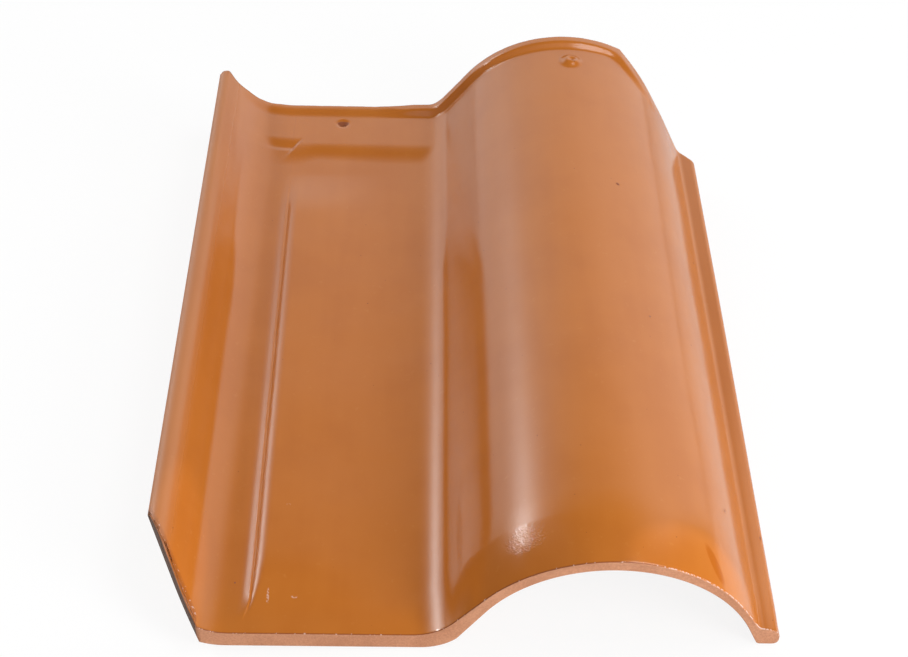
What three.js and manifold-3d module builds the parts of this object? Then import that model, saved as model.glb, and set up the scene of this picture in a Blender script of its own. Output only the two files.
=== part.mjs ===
// Glazed clay roof tile of the pan-and-roll kind: a flat pan that carries the water, a round
// roll that covers the joint with the next tile, and an upturned side lip that the neighbour's
// roll closes over. One fired piece.
//
// Millimetres, +Z up. The tile is drawn in its laid frame (x from the lip to the toe of the roll,
// y from the nose, the exposed lower end, to the head, z = 0 on the pan's upper face) and is then
// turned to lie on a level floor, as it comes to rest on its batten nib, pan and toe.

import * as THREE from 'three';
import { mergeVertices } from 'three/addons/utils/BufferGeometryUtils.js';
import Module from 'manifold-3d';

// ---- Driving dimensions ----------------------------------------------------------------------

const WIDTH = 300;                 // lip's edge to toe's face
const LENGTH = 420;                // nose to head
const PAN_THICKNESS = 9.5;         // pan, valley foot and lip
const ROLL_THICKNESS = 6.3;        // shell of the roll, at its top

// Side lip
const LIP_HEIGHT = 28.5;           // top of the lip above the pan
const LIP_TIP_RADIUS = 6.5;        // rounding of its top
const LIP_ANGLE = 57;              // slope of its inner face, degrees
const LIP_FILLET = 28;             // sweep from the inner face into the pan
const LIP_THICKNESS = 9;           // square to the inner face
const LIP_UNDER_RADIUS = 31;       // sweep from its underside into the pan's

// Roll
const CROWN_HEIGHT = 55;           // top of the roll above the pan
const CROWN_RADIUS = 75;           // outer radius over the crown
const FLANK_ANGLE = 51;            // slope of the straight outer flank beside the pan, degrees
const TOE_FLANK_ANGLE = 57;        // and of the one over the toe
const HOLLOW_ANGLE = 57;           // slope of the straight flank inside, beside the pan
const HOLLOW_TOE_ANGLE = 65;       // and over the toe
const HOLLOW_TOE_RADIUS = 73;      // inner radius on the toe's side, where the shell thins
const VALLEY_FILLET = 26;          // sweep from the pan into the roll
const FOOT_CORNER_DROP = 2.4;      // corner where the hollow starts, below the pan's upper face
const FOOT_RADIUS = 24;            // sweep from that corner to the pan's underside

// Toe of the roll
const TOE_LEDGE = 7.7;             // gutter, the ledge's lowest line, to the toe face
const TOE_GUTTER_RADIUS = 3.5;     // sweep from the flank into the ledge
const TOE_GUTTER_HEIGHT = 7.5;     // gutter above the pan
const TOE_EDGE_ANGLE = 3;          // rise of the ledge towards its edge, degrees
const TOE_EDGE_RADIUS = 2.5;       // rounding of the upper edge
const TOE_BOTTOM = -4;             // underside of the toe
const TOE_BOTTOM_RADIUS = 3;       // rounding of the outer lower edge
const TOE_INNER_RADIUS = 2;        // rounding of the inner lower edge

// Seat rib, which keeps the water off the joint
const RIB_X = 50.5;
const RIB_RADIUS = 5;
const RIB_RISE = 1.8;
const RIB_NOSE_GAP = 16;           // plain pan in front of the rib

// Head land, the raised band under the next course
const LAND_RISE = 2;
const LAND_DEPTH = 41.5;           // from the head to the top of the riser
const SEAT_LAND_DEPTH = 36;        // the same beside the lip
const RISER_RUN = 10;              // run of the sloping front

// Head bead, the weather bar along the head and down the corner cut
const BEAD_RADIUS = 3.2;           // upwards
const BEAD_HALF_WIDTH = 4.2;       // along the tile
const BEAD_RISE = 4.9;             // crest above the tile's upper line
const BEAD_EDGE_GAP = 4.4;         // middle of the bead behind the edge
const BEAD_START_X = 14;           // it runs out on the lip's inner face
const BEAD_TOE_GAP = 22;           // and on the flank, from the toe face
const BEAD_RUNOUT = 14;            // length over which each end tapers
const BEAD_TIP_RADIUS = 1;         // radius at its ends

// Corners
const NOSE_CUT_X = 27.5;           // cut across the nose corner of the lip
const NOSE_CUT_Y = 50;
const HEAD_CUT_X = 48;             // cut across the head corner of the toe
const HEAD_CUT_Y = 60;

// Nail point, a blind countersink in a low collar on the land
const NAIL_X = 79;
const NAIL_HEAD_GAP = 18;          // from the head
const NAIL_COLLAR_RADIUS = 10.5;
const NAIL_COLLAR_RISE = 1.3;
const NAIL_SINK_RADIUS = 5.5;
const NAIL_SINK_DEPTH = 3.2;
const NAIL_HOLE_RADIUS = 2.3;
const NAIL_HOLE_DEPTH = 7;

// Lodging pip on the crown
const PIP_HEAD_GAP = 24;
const PIP_RADIUS = 7.5;
const PIP_RISE = 2.4;

// Batten nibs under the head
const NIB_CENTRES = [52, 100];
const NIB_WIDTH = 26;
const NIB_DROP = 12;               // below the pan's underside
const NIB_FACE_GAP = 34;           // batten face to the head
const NIB_ROOT_DEPTH = 18;         // along the tile, at the root
const NIB_TIP_DEPTH = 12;          // and at the tip

const ARC_STEP = 5;                // degrees between the points of a section arc
const ROUND_SIDES = 24;            // sides of a turned form
const BEAD_SIDES = 14;             // and of the bead
const BEAD_STATIONS = 61;          // sections along the bead
const EMBED = 1;                   // how far a raised form is sunk into the body

const CLAY = new THREE.MeshStandardMaterial({
  name: 'glazed_clay', color: 0xbf6a2c, roughness: 0.28, metalness: 0,
});

const radians = THREE.MathUtils.degToRad;
const wasm = await Module();
wasm.setup();

// ---- Solids ------------------------------------------------------------------------------------

/** A closed three.js geometry as a solid. */
function solid(geometry) {
  const bare = geometry.clone();
  bare.deleteAttribute('normal');
  bare.deleteAttribute('uv');
  const merged = mergeVertices(bare, 1e-4);
  return new wasm.Manifold(new wasm.Mesh({
    numProp: 3,
    vertProperties: Float32Array.from(merged.attributes.position.array),
    triVerts: Uint32Array.from(merged.index.array),
  }));
}

/** A solid back as a three.js geometry. */
function geometryOf(manifold) {
  const mesh = manifold.getMesh();
  const geometry = new THREE.BufferGeometry();
  geometry.setAttribute('position', new THREE.BufferAttribute(Float32Array.from(mesh.vertProperties), 3));
  geometry.setIndex(new THREE.BufferAttribute(Uint32Array.from(mesh.triVerts), 1));
  geometry.computeVertexNormals();
  return geometry;
}

/** Extrudes a shape drawn in (x, z) along the tile, from y = from to y = to. */
function alongTile(shape, from, to) {
  const geometry = new THREE.ExtrudeGeometry(shape, { depth: to - from, bevelEnabled: false, steps: 1 });
  return geometry.rotateX(Math.PI / 2).translate(0, to, 0);
}

/** Extrudes a shape drawn in (y, z) across the tile, from x = from to x = to. */
function acrossTile(shape, from, to) {
  const geometry = new THREE.ExtrudeGeometry(shape, { depth: to - from, bevelEnabled: false, steps: 1 });
  return geometry.rotateX(Math.PI / 2).rotateZ(Math.PI / 2).translate(from, 0, 0);
}

/** Extrudes a plan shape drawn in (x, y) from z = low to z = high. */
function upright(shape, low, high) {
  const geometry = new THREE.ExtrudeGeometry(shape, { depth: high - low, bevelEnabled: false, steps: 1 });
  return geometry.translate(0, 0, low);
}

// ---- Section -----------------------------------------------------------------------------------

/** Points of an arc, angles in degrees from +x, counter-clockwise positive. */
function arc(centreX, centreZ, radius, startDegrees, endDegrees) {
  const steps = Math.max(2, Math.ceil(Math.abs(endDegrees - startDegrees) / ARC_STEP));
  const curve = new THREE.EllipseCurve(centreX, centreZ, radius, radius,
    radians(startDegrees), radians(endDegrees), endDegrees < startDegrees);
  return curve.getPoints(steps);
}

/** How far from the middle of an arc its tangent of a given slope reaches a height. */
function flankRun(radius, centreZ, slope, height) {
  return radius * Math.sin(slope) + (centreZ + radius * Math.cos(slope) - height) / Math.tan(slope);
}

/** Height at which a fillet of the given radius leaves a slope, above its level tangent. */
function filletTop(radius, slopeDegrees) {
  return radius * (1 - Math.cos(radians(slopeDegrees)));
}

const crownCentreZ = CROWN_HEIGHT - CROWN_RADIUS;
const hollowRadius = CROWN_RADIUS - ROLL_THICKNESS;
const hollowToeCentreZ = CROWN_HEIGHT - ROLL_THICKNESS - HOLLOW_TOE_RADIUS;
const lipCentreZ = LIP_HEIGHT - LIP_TIP_RADIUS;
const lipSlope = radians(LIP_ANGLE);
const flankSlope = radians(FLANK_ANGLE);
const toeFlankSlope = radians(TOE_FLANK_ANGLE);
const hollowSlope = radians(HOLLOW_ANGLE);
const hollowToeSlope = radians(HOLLOW_TOE_ANGLE);
const toeSlope = radians(TOE_EDGE_ANGLE);

// The ledge sets where the gutter lies, and the gutter where the roll stands.
const gutterX = WIDTH - TOE_LEDGE;
const gutterCentreZ = TOE_GUTTER_HEIGHT + TOE_GUTTER_RADIUS;
const gutterTop = TOE_GUTTER_HEIGHT + filletTop(TOE_GUTTER_RADIUS, TOE_FLANK_ANGLE);
const crownX = gutterX - TOE_GUTTER_RADIUS * Math.sin(toeFlankSlope)
  - flankRun(CROWN_RADIUS, crownCentreZ, toeFlankSlope, gutterTop);

// The lip's underside runs parallel to its inner face and meets the tip's rounding in the outer edge.
const lipTipStart = 270 - LIP_ANGLE
  - THREE.MathUtils.radToDeg(Math.acos((LIP_THICKNESS - LIP_TIP_RADIUS) / LIP_TIP_RADIUS));
const lipCentreX = -LIP_TIP_RADIUS * Math.cos(radians(lipTipStart));

// The inner face leaves the tip's rounding on a tangent and ends in the fillet.
const lipFaceTop = new THREE.Vector2(
  lipCentreX + LIP_TIP_RADIUS * Math.sin(lipSlope), lipCentreZ + LIP_TIP_RADIUS * Math.cos(lipSlope));
const lipFilletX = lipFaceTop.x + (lipFaceTop.y - filletTop(LIP_FILLET, LIP_ANGLE)) / Math.tan(lipSlope)
  + LIP_FILLET * Math.sin(lipSlope);
const lipUnderZ = LIP_UNDER_RADIUS - PAN_THICKNESS;
const lipUnderX = lipFaceTop.x
  + (LIP_UNDER_RADIUS - LIP_THICKNESS - (lipUnderZ - lipFaceTop.y) * Math.cos(lipSlope)) / Math.sin(lipSlope);

// The valley's fillet ends level with the pan.
const valleyX = crownX - VALLEY_FILLET * Math.sin(flankSlope)
  - flankRun(CROWN_RADIUS, crownCentreZ, flankSlope, filletTop(VALLEY_FILLET, FLANK_ANGLE));

// The foot's sweep runs from the corner of the hollow to the pan's underside.
const footCornerX = crownX - flankRun(hollowRadius, crownCentreZ, hollowSlope, -FOOT_CORNER_DROP);
const footRise = PAN_THICKNESS - FOOT_CORNER_DROP;
const footRun = Math.sqrt(FOOT_RADIUS ** 2 - (FOOT_RADIUS - footRise) ** 2);
const footX = footCornerX - footRun;
const footSweep = THREE.MathUtils.radToDeg(Math.asin(footRun / FOOT_RADIUS));

// The toe rises from the gutter to its rounded edge.
const toeEdgeCentreX = WIDTH - TOE_EDGE_RADIUS;
const toeRiseStart = new THREE.Vector2(
  gutterX + TOE_GUTTER_RADIUS * Math.sin(toeSlope), gutterCentreZ - TOE_GUTTER_RADIUS * Math.cos(toeSlope));
const toeEdgeTopX = toeEdgeCentreX - TOE_EDGE_RADIUS * Math.sin(toeSlope);
const toeEdgeTopZ = toeRiseStart.y + (toeEdgeTopX - toeRiseStart.x) * Math.tan(toeSlope);
const toeEdgeCentreZ = toeEdgeTopZ - TOE_EDGE_RADIUS * Math.cos(toeSlope);

/** The upper line of the section, from the lip's tip to the toe's edge. */
function upperLine() {
  return [
    ...arc(lipCentreX, lipCentreZ, LIP_TIP_RADIUS, lipTipStart, 90 - LIP_ANGLE),
    ...arc(lipFilletX, LIP_FILLET, LIP_FILLET, 270 - LIP_ANGLE, 270),
    ...arc(valleyX, VALLEY_FILLET, VALLEY_FILLET, 270, 270 + FLANK_ANGLE),
    ...arc(crownX, crownCentreZ, CROWN_RADIUS, 90 + FLANK_ANGLE, 90 - TOE_FLANK_ANGLE),
    ...arc(gutterX, gutterCentreZ, TOE_GUTTER_RADIUS, 270 - TOE_FLANK_ANGLE, 270 + TOE_EDGE_ANGLE),
    ...arc(toeEdgeCentreX, toeEdgeCentreZ, TOE_EDGE_RADIUS, 90 + TOE_EDGE_ANGLE, 0),
  ];
}

/** The lower line, from the toe's edge back to the lip's underside. */
function lowerLine() {
  const toeInnerTop = TOE_BOTTOM + filletTop(TOE_INNER_RADIUS, HOLLOW_TOE_ANGLE);
  const toeInnerX = crownX + TOE_INNER_RADIUS * Math.sin(hollowToeSlope)
    + flankRun(HOLLOW_TOE_RADIUS, hollowToeCentreZ, hollowToeSlope, toeInnerTop);
  return [
    ...arc(WIDTH - TOE_BOTTOM_RADIUS, TOE_BOTTOM + TOE_BOTTOM_RADIUS, TOE_BOTTOM_RADIUS, 0, -90),
    ...arc(toeInnerX, TOE_BOTTOM + TOE_INNER_RADIUS, TOE_INNER_RADIUS, 270, 270 - HOLLOW_TOE_ANGLE),
    ...arc(crownX, hollowToeCentreZ, HOLLOW_TOE_RADIUS, 90 - HOLLOW_TOE_ANGLE, 90),
    ...arc(crownX, crownCentreZ, hollowRadius, 90, 90 + HOLLOW_ANGLE).slice(1),
    ...arc(footX, FOOT_RADIUS - PAN_THICKNESS, FOOT_RADIUS, 270 + footSweep, 270),
    ...arc(lipUnderX, lipUnderZ, LIP_UNDER_RADIUS, 270, 270 - LIP_ANGLE),
  ];
}

/** Height and unit normal of the upper line at x, read between its points. */
function upperAt(x) {
  const line = upperLine();
  const next = line.findIndex((point, index) => index > 0 && point.x >= x);
  const a = line[next - 1];
  const b = line[next];
  const share = (x - a.x) / (b.x - a.x);
  const along = b.clone().sub(a).normalize();
  return { z: a.y + share * (b.y - a.y), normal: new THREE.Vector2(-along.y, along.x) };
}

// ---- Forms -------------------------------------------------------------------------------------

/** The tile's body: its section carried from nose to head. */
function body() {
  return alongTile(new THREE.Shape([...upperLine(), ...lowerLine()]), 0, LENGTH);
}

/** A raised band of the land, with a sloping riser towards the nose. */
function landBand(fromX, toX, depth) {
  const top = LENGTH - depth;
  const foot = top - RISER_RUN * (LAND_RISE + EMBED) / LAND_RISE;
  const shape = new THREE.Shape([
    new THREE.Vector2(foot, -EMBED),
    new THREE.Vector2(LENGTH, -EMBED),
    new THREE.Vector2(LENGTH, LAND_RISE),
    new THREE.Vector2(top, LAND_RISE),
  ]);
  return acrossTile(shape, fromX, toX);
}

/** The land from the lip's inner face to the valley, in two bands that meet at the rib. */
function land() {
  const lipEnd = lipFilletX - Math.sqrt(LIP_FILLET ** 2 - (LIP_FILLET - LAND_RISE) ** 2) - 2 * EMBED;
  const valleyEnd = valleyX + Math.sqrt(VALLEY_FILLET ** 2 - (VALLEY_FILLET - LAND_RISE) ** 2) + 2 * EMBED;
  return [
    landBand(lipEnd, RIB_X, SEAT_LAND_DEPTH),
    landBand(RIB_X - EMBED, valleyEnd, LAND_DEPTH),
  ];
}

/** The rib beside the seat: a half-sunk round bar with a rounded nose end. */
function rib() {
  const noseEnd = RIB_NOSE_GAP;
  const headEnd = LENGTH - LAND_DEPTH + RIB_RADIUS;
  const bar = new THREE.CapsuleGeometry(RIB_RADIUS, headEnd - noseEnd, 6, ROUND_SIDES);
  return bar.translate(RIB_X, (noseEnd + headEnd) / 2, RIB_RISE - RIB_RADIUS);
}

/** The bead's stations along the head and down the corner cut: middle, surface normal, size. */
function beadStations() {
  const cutLength = Math.hypot(HEAD_CUT_X, HEAD_CUT_Y);
  const inset = BEAD_EDGE_GAP * cutLength / HEAD_CUT_Y;
  const cornerX = WIDTH - HEAD_CUT_X - inset + BEAD_EDGE_GAP * HEAD_CUT_X / HEAD_CUT_Y;
  const endX = WIDTH - BEAD_TOE_GAP;
  const headY = LENGTH - BEAD_EDGE_GAP;
  return Array.from({ length: BEAD_STATIONS }, (_, index) => {
    const x = THREE.MathUtils.lerp(BEAD_START_X, endX, index / (BEAD_STATIONS - 1));
    const y = Math.min(headY, headY - (x - cornerX) * HEAD_CUT_Y / HEAD_CUT_X);
    const fade = THREE.MathUtils.smoothstep(Math.min(x - BEAD_START_X, endX - x), 0, BEAD_RUNOUT);
    const radius = THREE.MathUtils.lerp(BEAD_TIP_RADIUS, BEAD_RADIUS, fade);
    const halfWidth = THREE.MathUtils.lerp(BEAD_TIP_RADIUS, BEAD_HALF_WIDTH, fade);
    const lift = fade * BEAD_RISE - radius;
    const surface = upperAt(x);
    return {
      middle: new THREE.Vector3(x + lift * surface.normal.x, y, surface.z + lift * surface.normal.y),
      normal: new THREE.Vector3(surface.normal.x, 0, surface.normal.y),
      radius,
      halfWidth,
    };
  });
}

/** The bead: an oval bar through its stations, half sunk into the tile, with tapered ends. */
function bead() {
  const stations = beadStations();
  const last = stations.length - 1;
  const positions = [];
  stations.forEach(({ middle, normal, radius, halfWidth }, index) => {
    const ahead = stations[Math.min(index + 1, last)].middle;
    const behind = stations[Math.max(index - 1, 0)].middle;
    const side = ahead.clone().sub(behind).cross(normal).normalize();
    for (let corner = 0; corner < BEAD_SIDES; corner += 1) {
      const turn = 2 * Math.PI * corner / BEAD_SIDES;
      const point = middle.clone().addScaledVector(normal, radius * Math.cos(turn));
      positions.push(...point.addScaledVector(side, halfWidth * Math.sin(turn)).toArray());
    }
  });
  const faces = [];
  for (let ring = 0; ring < last; ring += 1) {
    for (let corner = 0; corner < BEAD_SIDES; corner += 1) {
      const a = ring * BEAD_SIDES + corner;
      const b = ring * BEAD_SIDES + (corner + 1) % BEAD_SIDES;
      faces.push(a, b, b + BEAD_SIDES, a, b + BEAD_SIDES, a + BEAD_SIDES);
    }
  }
  for (let corner = 1; corner < BEAD_SIDES - 1; corner += 1) {
    const end = last * BEAD_SIDES;
    faces.push(0, corner + 1, corner, end, end + corner, end + corner + 1);
  }
  const geometry = new THREE.BufferGeometry();
  geometry.setAttribute('position', new THREE.Float32BufferAttribute(positions, 3));
  return geometry.setIndex(faces);
}

/** A shallow dome of a given radius and rise, with a skirt that sinks below its foot. */
function dome(radius, rise, sink) {
  const sphereRadius = (radius ** 2 + rise ** 2) / (2 * rise);
  const halfAngle = THREE.MathUtils.radToDeg(Math.asin(radius / sphereRadius));
  const profile = [
    new THREE.Vector2(0, -sink),
    new THREE.Vector2(radius, -sink),
    ...arc(0, rise - sphereRadius, sphereRadius, 90 - halfAngle, 90),
  ];
  profile[profile.length - 1].x = 0;
  return new THREE.LatheGeometry(profile, ROUND_SIDES).rotateX(Math.PI / 2);
}

/** The lodging pip on the crown. */
function pip() {
  const sink = PIP_RADIUS ** 2 / (2 * CROWN_RADIUS) + EMBED;
  return dome(PIP_RADIUS, PIP_RISE, sink).translate(crownX, LENGTH - PIP_HEAD_GAP, CROWN_HEIGHT);
}

/** The low collar round the nail point. */
function nailCollar() {
  const collar = dome(NAIL_COLLAR_RADIUS, NAIL_COLLAR_RISE, EMBED);
  return collar.translate(NAIL_X, LENGTH - NAIL_HEAD_GAP, LAND_RISE);
}

/** A batten nib: a tapered lug whose face towards the nose stands square to the pan. */
function nib(centreX) {
  const faceY = LENGTH - NIB_FACE_GAP;
  const shape = new THREE.Shape([
    new THREE.Vector2(faceY, -PAN_THICKNESS - NIB_DROP),
    new THREE.Vector2(faceY + NIB_TIP_DEPTH, -PAN_THICKNESS - NIB_DROP),
    new THREE.Vector2(faceY + NIB_ROOT_DEPTH, -PAN_THICKNESS + EMBED),
    new THREE.Vector2(faceY, -PAN_THICKNESS + EMBED),
  ]);
  return acrossTile(shape, centreX - NIB_WIDTH / 2, centreX + NIB_WIDTH / 2);
}

/** The nail point: a cone with a blind hole in its middle, cut from the collar. */
function nailPoint() {
  const over = EMBED * NAIL_SINK_RADIUS / NAIL_SINK_DEPTH;
  const profile = [
    new THREE.Vector2(0, -NAIL_HOLE_DEPTH),
    new THREE.Vector2(NAIL_HOLE_RADIUS, -NAIL_HOLE_DEPTH),
    new THREE.Vector2(NAIL_HOLE_RADIUS, -NAIL_SINK_DEPTH),
    new THREE.Vector2(NAIL_SINK_RADIUS + over, EMBED),
    new THREE.Vector2(0, EMBED),
  ];
  const cutter = new THREE.LatheGeometry(profile, ROUND_SIDES).rotateX(Math.PI / 2);
  return cutter.translate(NAIL_X, LENGTH - NAIL_HEAD_GAP, LAND_RISE + NAIL_COLLAR_RISE);
}

/** The prism that cuts a corner square to the pan, given the two ends of the cut and the corner. */
function cornerCut(a, b, corner) {
  const outward = corner.clone().sub(a.clone().add(b).multiplyScalar(0.5));
  const along = b.clone().sub(a).normalize();
  const reach = a.distanceTo(b);
  const shape = new THREE.Shape([
    a.clone().addScaledVector(along, -reach),
    b.clone().addScaledVector(along, reach),
    b.clone().addScaledVector(along, reach).addScaledVector(outward, 2),
    a.clone().addScaledVector(along, -reach).addScaledVector(outward, 2),
  ]);
  return upright(shape, -PAN_THICKNESS - NIB_DROP - EMBED, CROWN_HEIGHT + BEAD_RISE + EMBED);
}

/** Both corner cuts. */
function cornerCuts() {
  return [
    cornerCut(new THREE.Vector2(NOSE_CUT_X, 0), new THREE.Vector2(0, NOSE_CUT_Y), new THREE.Vector2(0, 0)),
    cornerCut(new THREE.Vector2(WIDTH - HEAD_CUT_X, LENGTH), new THREE.Vector2(WIDTH, LENGTH - HEAD_CUT_Y),
      new THREE.Vector2(WIDTH, LENGTH)),
  ];
}

// ---- Assembly ----------------------------------------------------------------------------------

/** The tile in its laid frame. */
function laidTile() {
  const raised = [...land(), rib(), bead(), pip(), nailCollar(), ...NIB_CENTRES.map(nib)];
  const cuts = [nailPoint(), ...cornerCuts()];
  const whole = raised.reduce((sum, form) => sum.add(solid(form)), solid(body()));
  return geometryOf(cuts.reduce((rest, form) => rest.subtract(solid(form)), whole));
}

/** The turn that lays the tile on the floor: its inner nib, the pan's foot and the toe all touch. */
function restTurn() {
  const nibX = Math.max(...NIB_CENTRES) + NIB_WIDTH / 2;
  const nibEdge = new THREE.Vector3(nibX, LENGTH - NIB_FACE_GAP + NIB_TIP_DEPTH, -PAN_THICKNESS - NIB_DROP);
  const foot = new THREE.Vector3(footX, 0, -PAN_THICKNESS);
  const toe = new THREE.Vector3(WIDTH - TOE_BOTTOM_RADIUS, 0, TOE_BOTTOM);
  const normal = toe.clone().sub(foot).cross(nibEdge.clone().sub(foot)).normalize();
  return new THREE.Quaternion().setFromUnitVectors(normal, new THREE.Vector3(0, 0, 1));
}

const tile = new THREE.Mesh(laidTile(), CLAY);
tile.name = 'roof_tile';
tile.quaternion.copy(restTurn());
tile.updateMatrixWorld(true);

// The origin is the middle of the tile's footprint, on the floor.
const box = new THREE.Box3().setFromObject(tile, true);
const middle = box.getCenter(new THREE.Vector3());
tile.position.set(-middle.x, -middle.y, -box.min.z);

const part = new THREE.Group();
part.name = 'clay_roof_tile';
part.add(tile);

export default part;
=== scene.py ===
"""A glazed clay roof tile with one roll, lying on a pale floor in soft studio light.

The tile is one closed piece of fired clay. It is worked out in its own lying frame, in millimetres:
x runs across the tile from the lip's outer edge to the toe, y from the nose to the head, and z up from
the pan's upper face. At rest the tile leans a little on its toe and its batten nibs, so the finished
piece is turned by those two small angles and set into the frame's box, in metres.
"""

import logging
import math
from collections.abc import Callable
from dataclasses import dataclass, field, replace
from functools import reduce
from typing import Any

import bpy
import numpy as np
from mathutils import Matrix, Vector


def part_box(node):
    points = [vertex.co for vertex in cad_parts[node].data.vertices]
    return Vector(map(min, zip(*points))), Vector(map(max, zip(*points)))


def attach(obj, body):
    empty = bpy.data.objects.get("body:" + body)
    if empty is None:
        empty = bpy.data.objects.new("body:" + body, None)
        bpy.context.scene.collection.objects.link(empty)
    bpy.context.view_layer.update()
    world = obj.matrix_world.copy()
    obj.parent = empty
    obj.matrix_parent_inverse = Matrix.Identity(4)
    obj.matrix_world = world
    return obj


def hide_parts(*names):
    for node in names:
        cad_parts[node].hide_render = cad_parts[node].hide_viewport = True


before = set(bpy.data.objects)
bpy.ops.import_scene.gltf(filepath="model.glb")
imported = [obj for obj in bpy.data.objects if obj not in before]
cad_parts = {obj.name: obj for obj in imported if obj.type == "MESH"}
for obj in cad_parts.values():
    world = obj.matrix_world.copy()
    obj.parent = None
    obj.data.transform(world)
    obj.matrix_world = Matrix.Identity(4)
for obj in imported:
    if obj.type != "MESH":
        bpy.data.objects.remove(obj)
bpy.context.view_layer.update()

MM = 0.001
NODE = "roof_tile"
LINE_STEP = 0.1          # mm between the points of a section line
MARK_EDGE = (1.3, 0.5)   # squared distances, in half widths, where a mark ends and where it is full
MIX_COLOURS = (6, 7)     # the Mix node's two colour inputs
MIX_RESULT = 2           # and its colour output

Colour = tuple[float, float, float]
log = logging.getLogger("roof_tile")


# ---- Numbers on arrays ---------------------------------------------------------------------------


def share_of(value: np.ndarray, low: float | np.ndarray, high: float | np.ndarray) -> np.ndarray:
    """Returns how far a value has come from low to high, as a share from 0 to 1."""
    return np.clip((value - low) / (high - low), 0.0, 1.0)


def smoothstep(value: np.ndarray, low: float, high: float) -> np.ndarray:
    """Returns 0 below low, 1 above high, and 3t^2 - 2t^3 between them."""
    share = share_of(value, low, high)
    return share * share * (3.0 - 2.0 * share)


def fade(value: np.ndarray, low: float, high: float) -> np.ndarray:
    """Returns 1 below low, 0 above high, and 1 less a smoothstep between them."""
    return 1.0 - smoothstep(value, low, high)


def smooth_max(a: np.ndarray, b: np.ndarray, width: float) -> np.ndarray:
    """Returns the larger of two heights plus (1 - gap / width)^2 width / 4, which fills their crease."""
    near = np.clip(1.0 - np.abs(a - b) / width, 0.0, 1.0)
    return np.maximum(a, b) + near * near * width / 4.0


def plateau(value: np.ndarray, low: float, high: float, ramp: float) -> np.ndarray:
    """Returns 1 between low and high, falling to 0 over a ramp outside each of them."""
    return smoothstep(value, low - ramp, low) * fade(value, high, high + ramp)


def value_noise(x: np.ndarray, y: np.ndarray, cell: float, seed: int) -> np.ndarray:
    """Works out smooth noise between -1 and 1: random numbers on a square lattice, eased between.

    Args:
        x, y: places, in mm.
        cell: side of a lattice square, in mm.
        seed: seed of the lattice's random numbers.

    Returns:
        The noise at each place.
    """
    side = 257
    lattice = np.random.default_rng(seed).uniform(-1.0, 1.0, (side, side))
    column, row = np.floor(x / cell), np.floor(y / cell)
    u, v = smoothstep(x / cell - column, 0.0, 1.0), smoothstep(y / cell - row, 0.0, 1.0)
    i, j = column.astype(int) % (side - 1), row.astype(int) % (side - 1)
    low = lattice[i, j] * (1.0 - u) + lattice[i + 1, j] * u
    high = lattice[i, j + 1] * (1.0 - u) + lattice[i + 1, j + 1] * u
    return low * (1.0 - v) + high * v


def arc(x: float, z: float, radius: float, start: float, end: float) -> np.ndarray:
    """Works out an arc: its middle plus radius times the cosine and the sine of each angle.

    Args:
        x, z: the arc's middle.
        radius: its radius.
        start, end: its first and last angle, in degrees.

    Returns:
        Points every degree or so along it.
    """
    count = max(2, int(abs(end - start)) + 1)
    angles = np.radians(np.linspace(start, end, count))
    return np.column_stack([x + radius * np.cos(angles), z + radius * np.sin(angles)])


def quads(grid: np.ndarray) -> np.ndarray:
    """Returns the quads of a grid of vertex numbers."""
    return np.stack([grid[:-1, :-1], grid[:-1, 1:], grid[1:, 1:], grid[1:, :-1]], axis=-1).reshape(-1, 4)


def add_object(name: str, data: bpy.types.ID) -> bpy.types.Object:
    """Makes an object and links it into the scene.

    Args:
        name: its name.
        data: its mesh, lamp or camera.

    Returns:
        The object.
    """
    made = bpy.data.objects.new(name, data)
    bpy.context.scene.collection.objects.link(made)
    return made


# ---- The tile's section --------------------------------------------------------------------------


class SectionLine:
    """One line of the section, upper or lower, read by its length from the lip."""

    def __init__(self, pieces: list[np.ndarray], outward: float) -> None:
        """Joins arcs into a line and spaces its points evenly.

        Args:
            pieces: the line's arcs in order. Straight stretches join them.
            outward: 1 where the clay lies on the right of the line, -1 where it lies on the left.
        """
        rough = np.concatenate(pieces)
        lengths = np.concatenate([[0.0], np.cumsum(np.hypot(*np.diff(rough, axis=0).T))])
        self.length = float(lengths[-1])
        self.steps = np.linspace(0.0, self.length, int(self.length / LINE_STEP))
        self.x = np.interp(self.steps, lengths, rough[:, 0])
        self.z = np.interp(self.steps, lengths, rough[:, 1])
        along_x, along_z = np.gradient(self.x), np.gradient(self.z)
        size = np.hypot(along_x, along_z)
        self.normal_x = -outward * along_z / size
        self.normal_z = outward * along_x / size

    def length_at(self, x: float) -> float:
        """Returns the line's length from the lip to the point at x."""
        return float(np.interp(x, self.x, self.steps))

    def sample(self, lengths: np.ndarray) -> np.ndarray:
        """Reads the line at some lengths.

        Args:
            lengths: lengths from the lip.

        Returns:
            x, z and the outward normal's x and z, one row for each length.
        """
        values = [np.interp(lengths, self.steps, line)
                  for line in (self.x, self.z, self.normal_x, self.normal_z)]
        return np.column_stack(values)


def flank_run(radius: float, centre_z: float, slope: float, level: float) -> float:
    """Returns how far from a roll's middle its flank meets a level.

    The flank is the straight tangent of the roll's arc at the slope's angle.
    """
    return radius * math.sin(slope) + (centre_z + radius * math.cos(slope) - level) / math.tan(slope)


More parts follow.
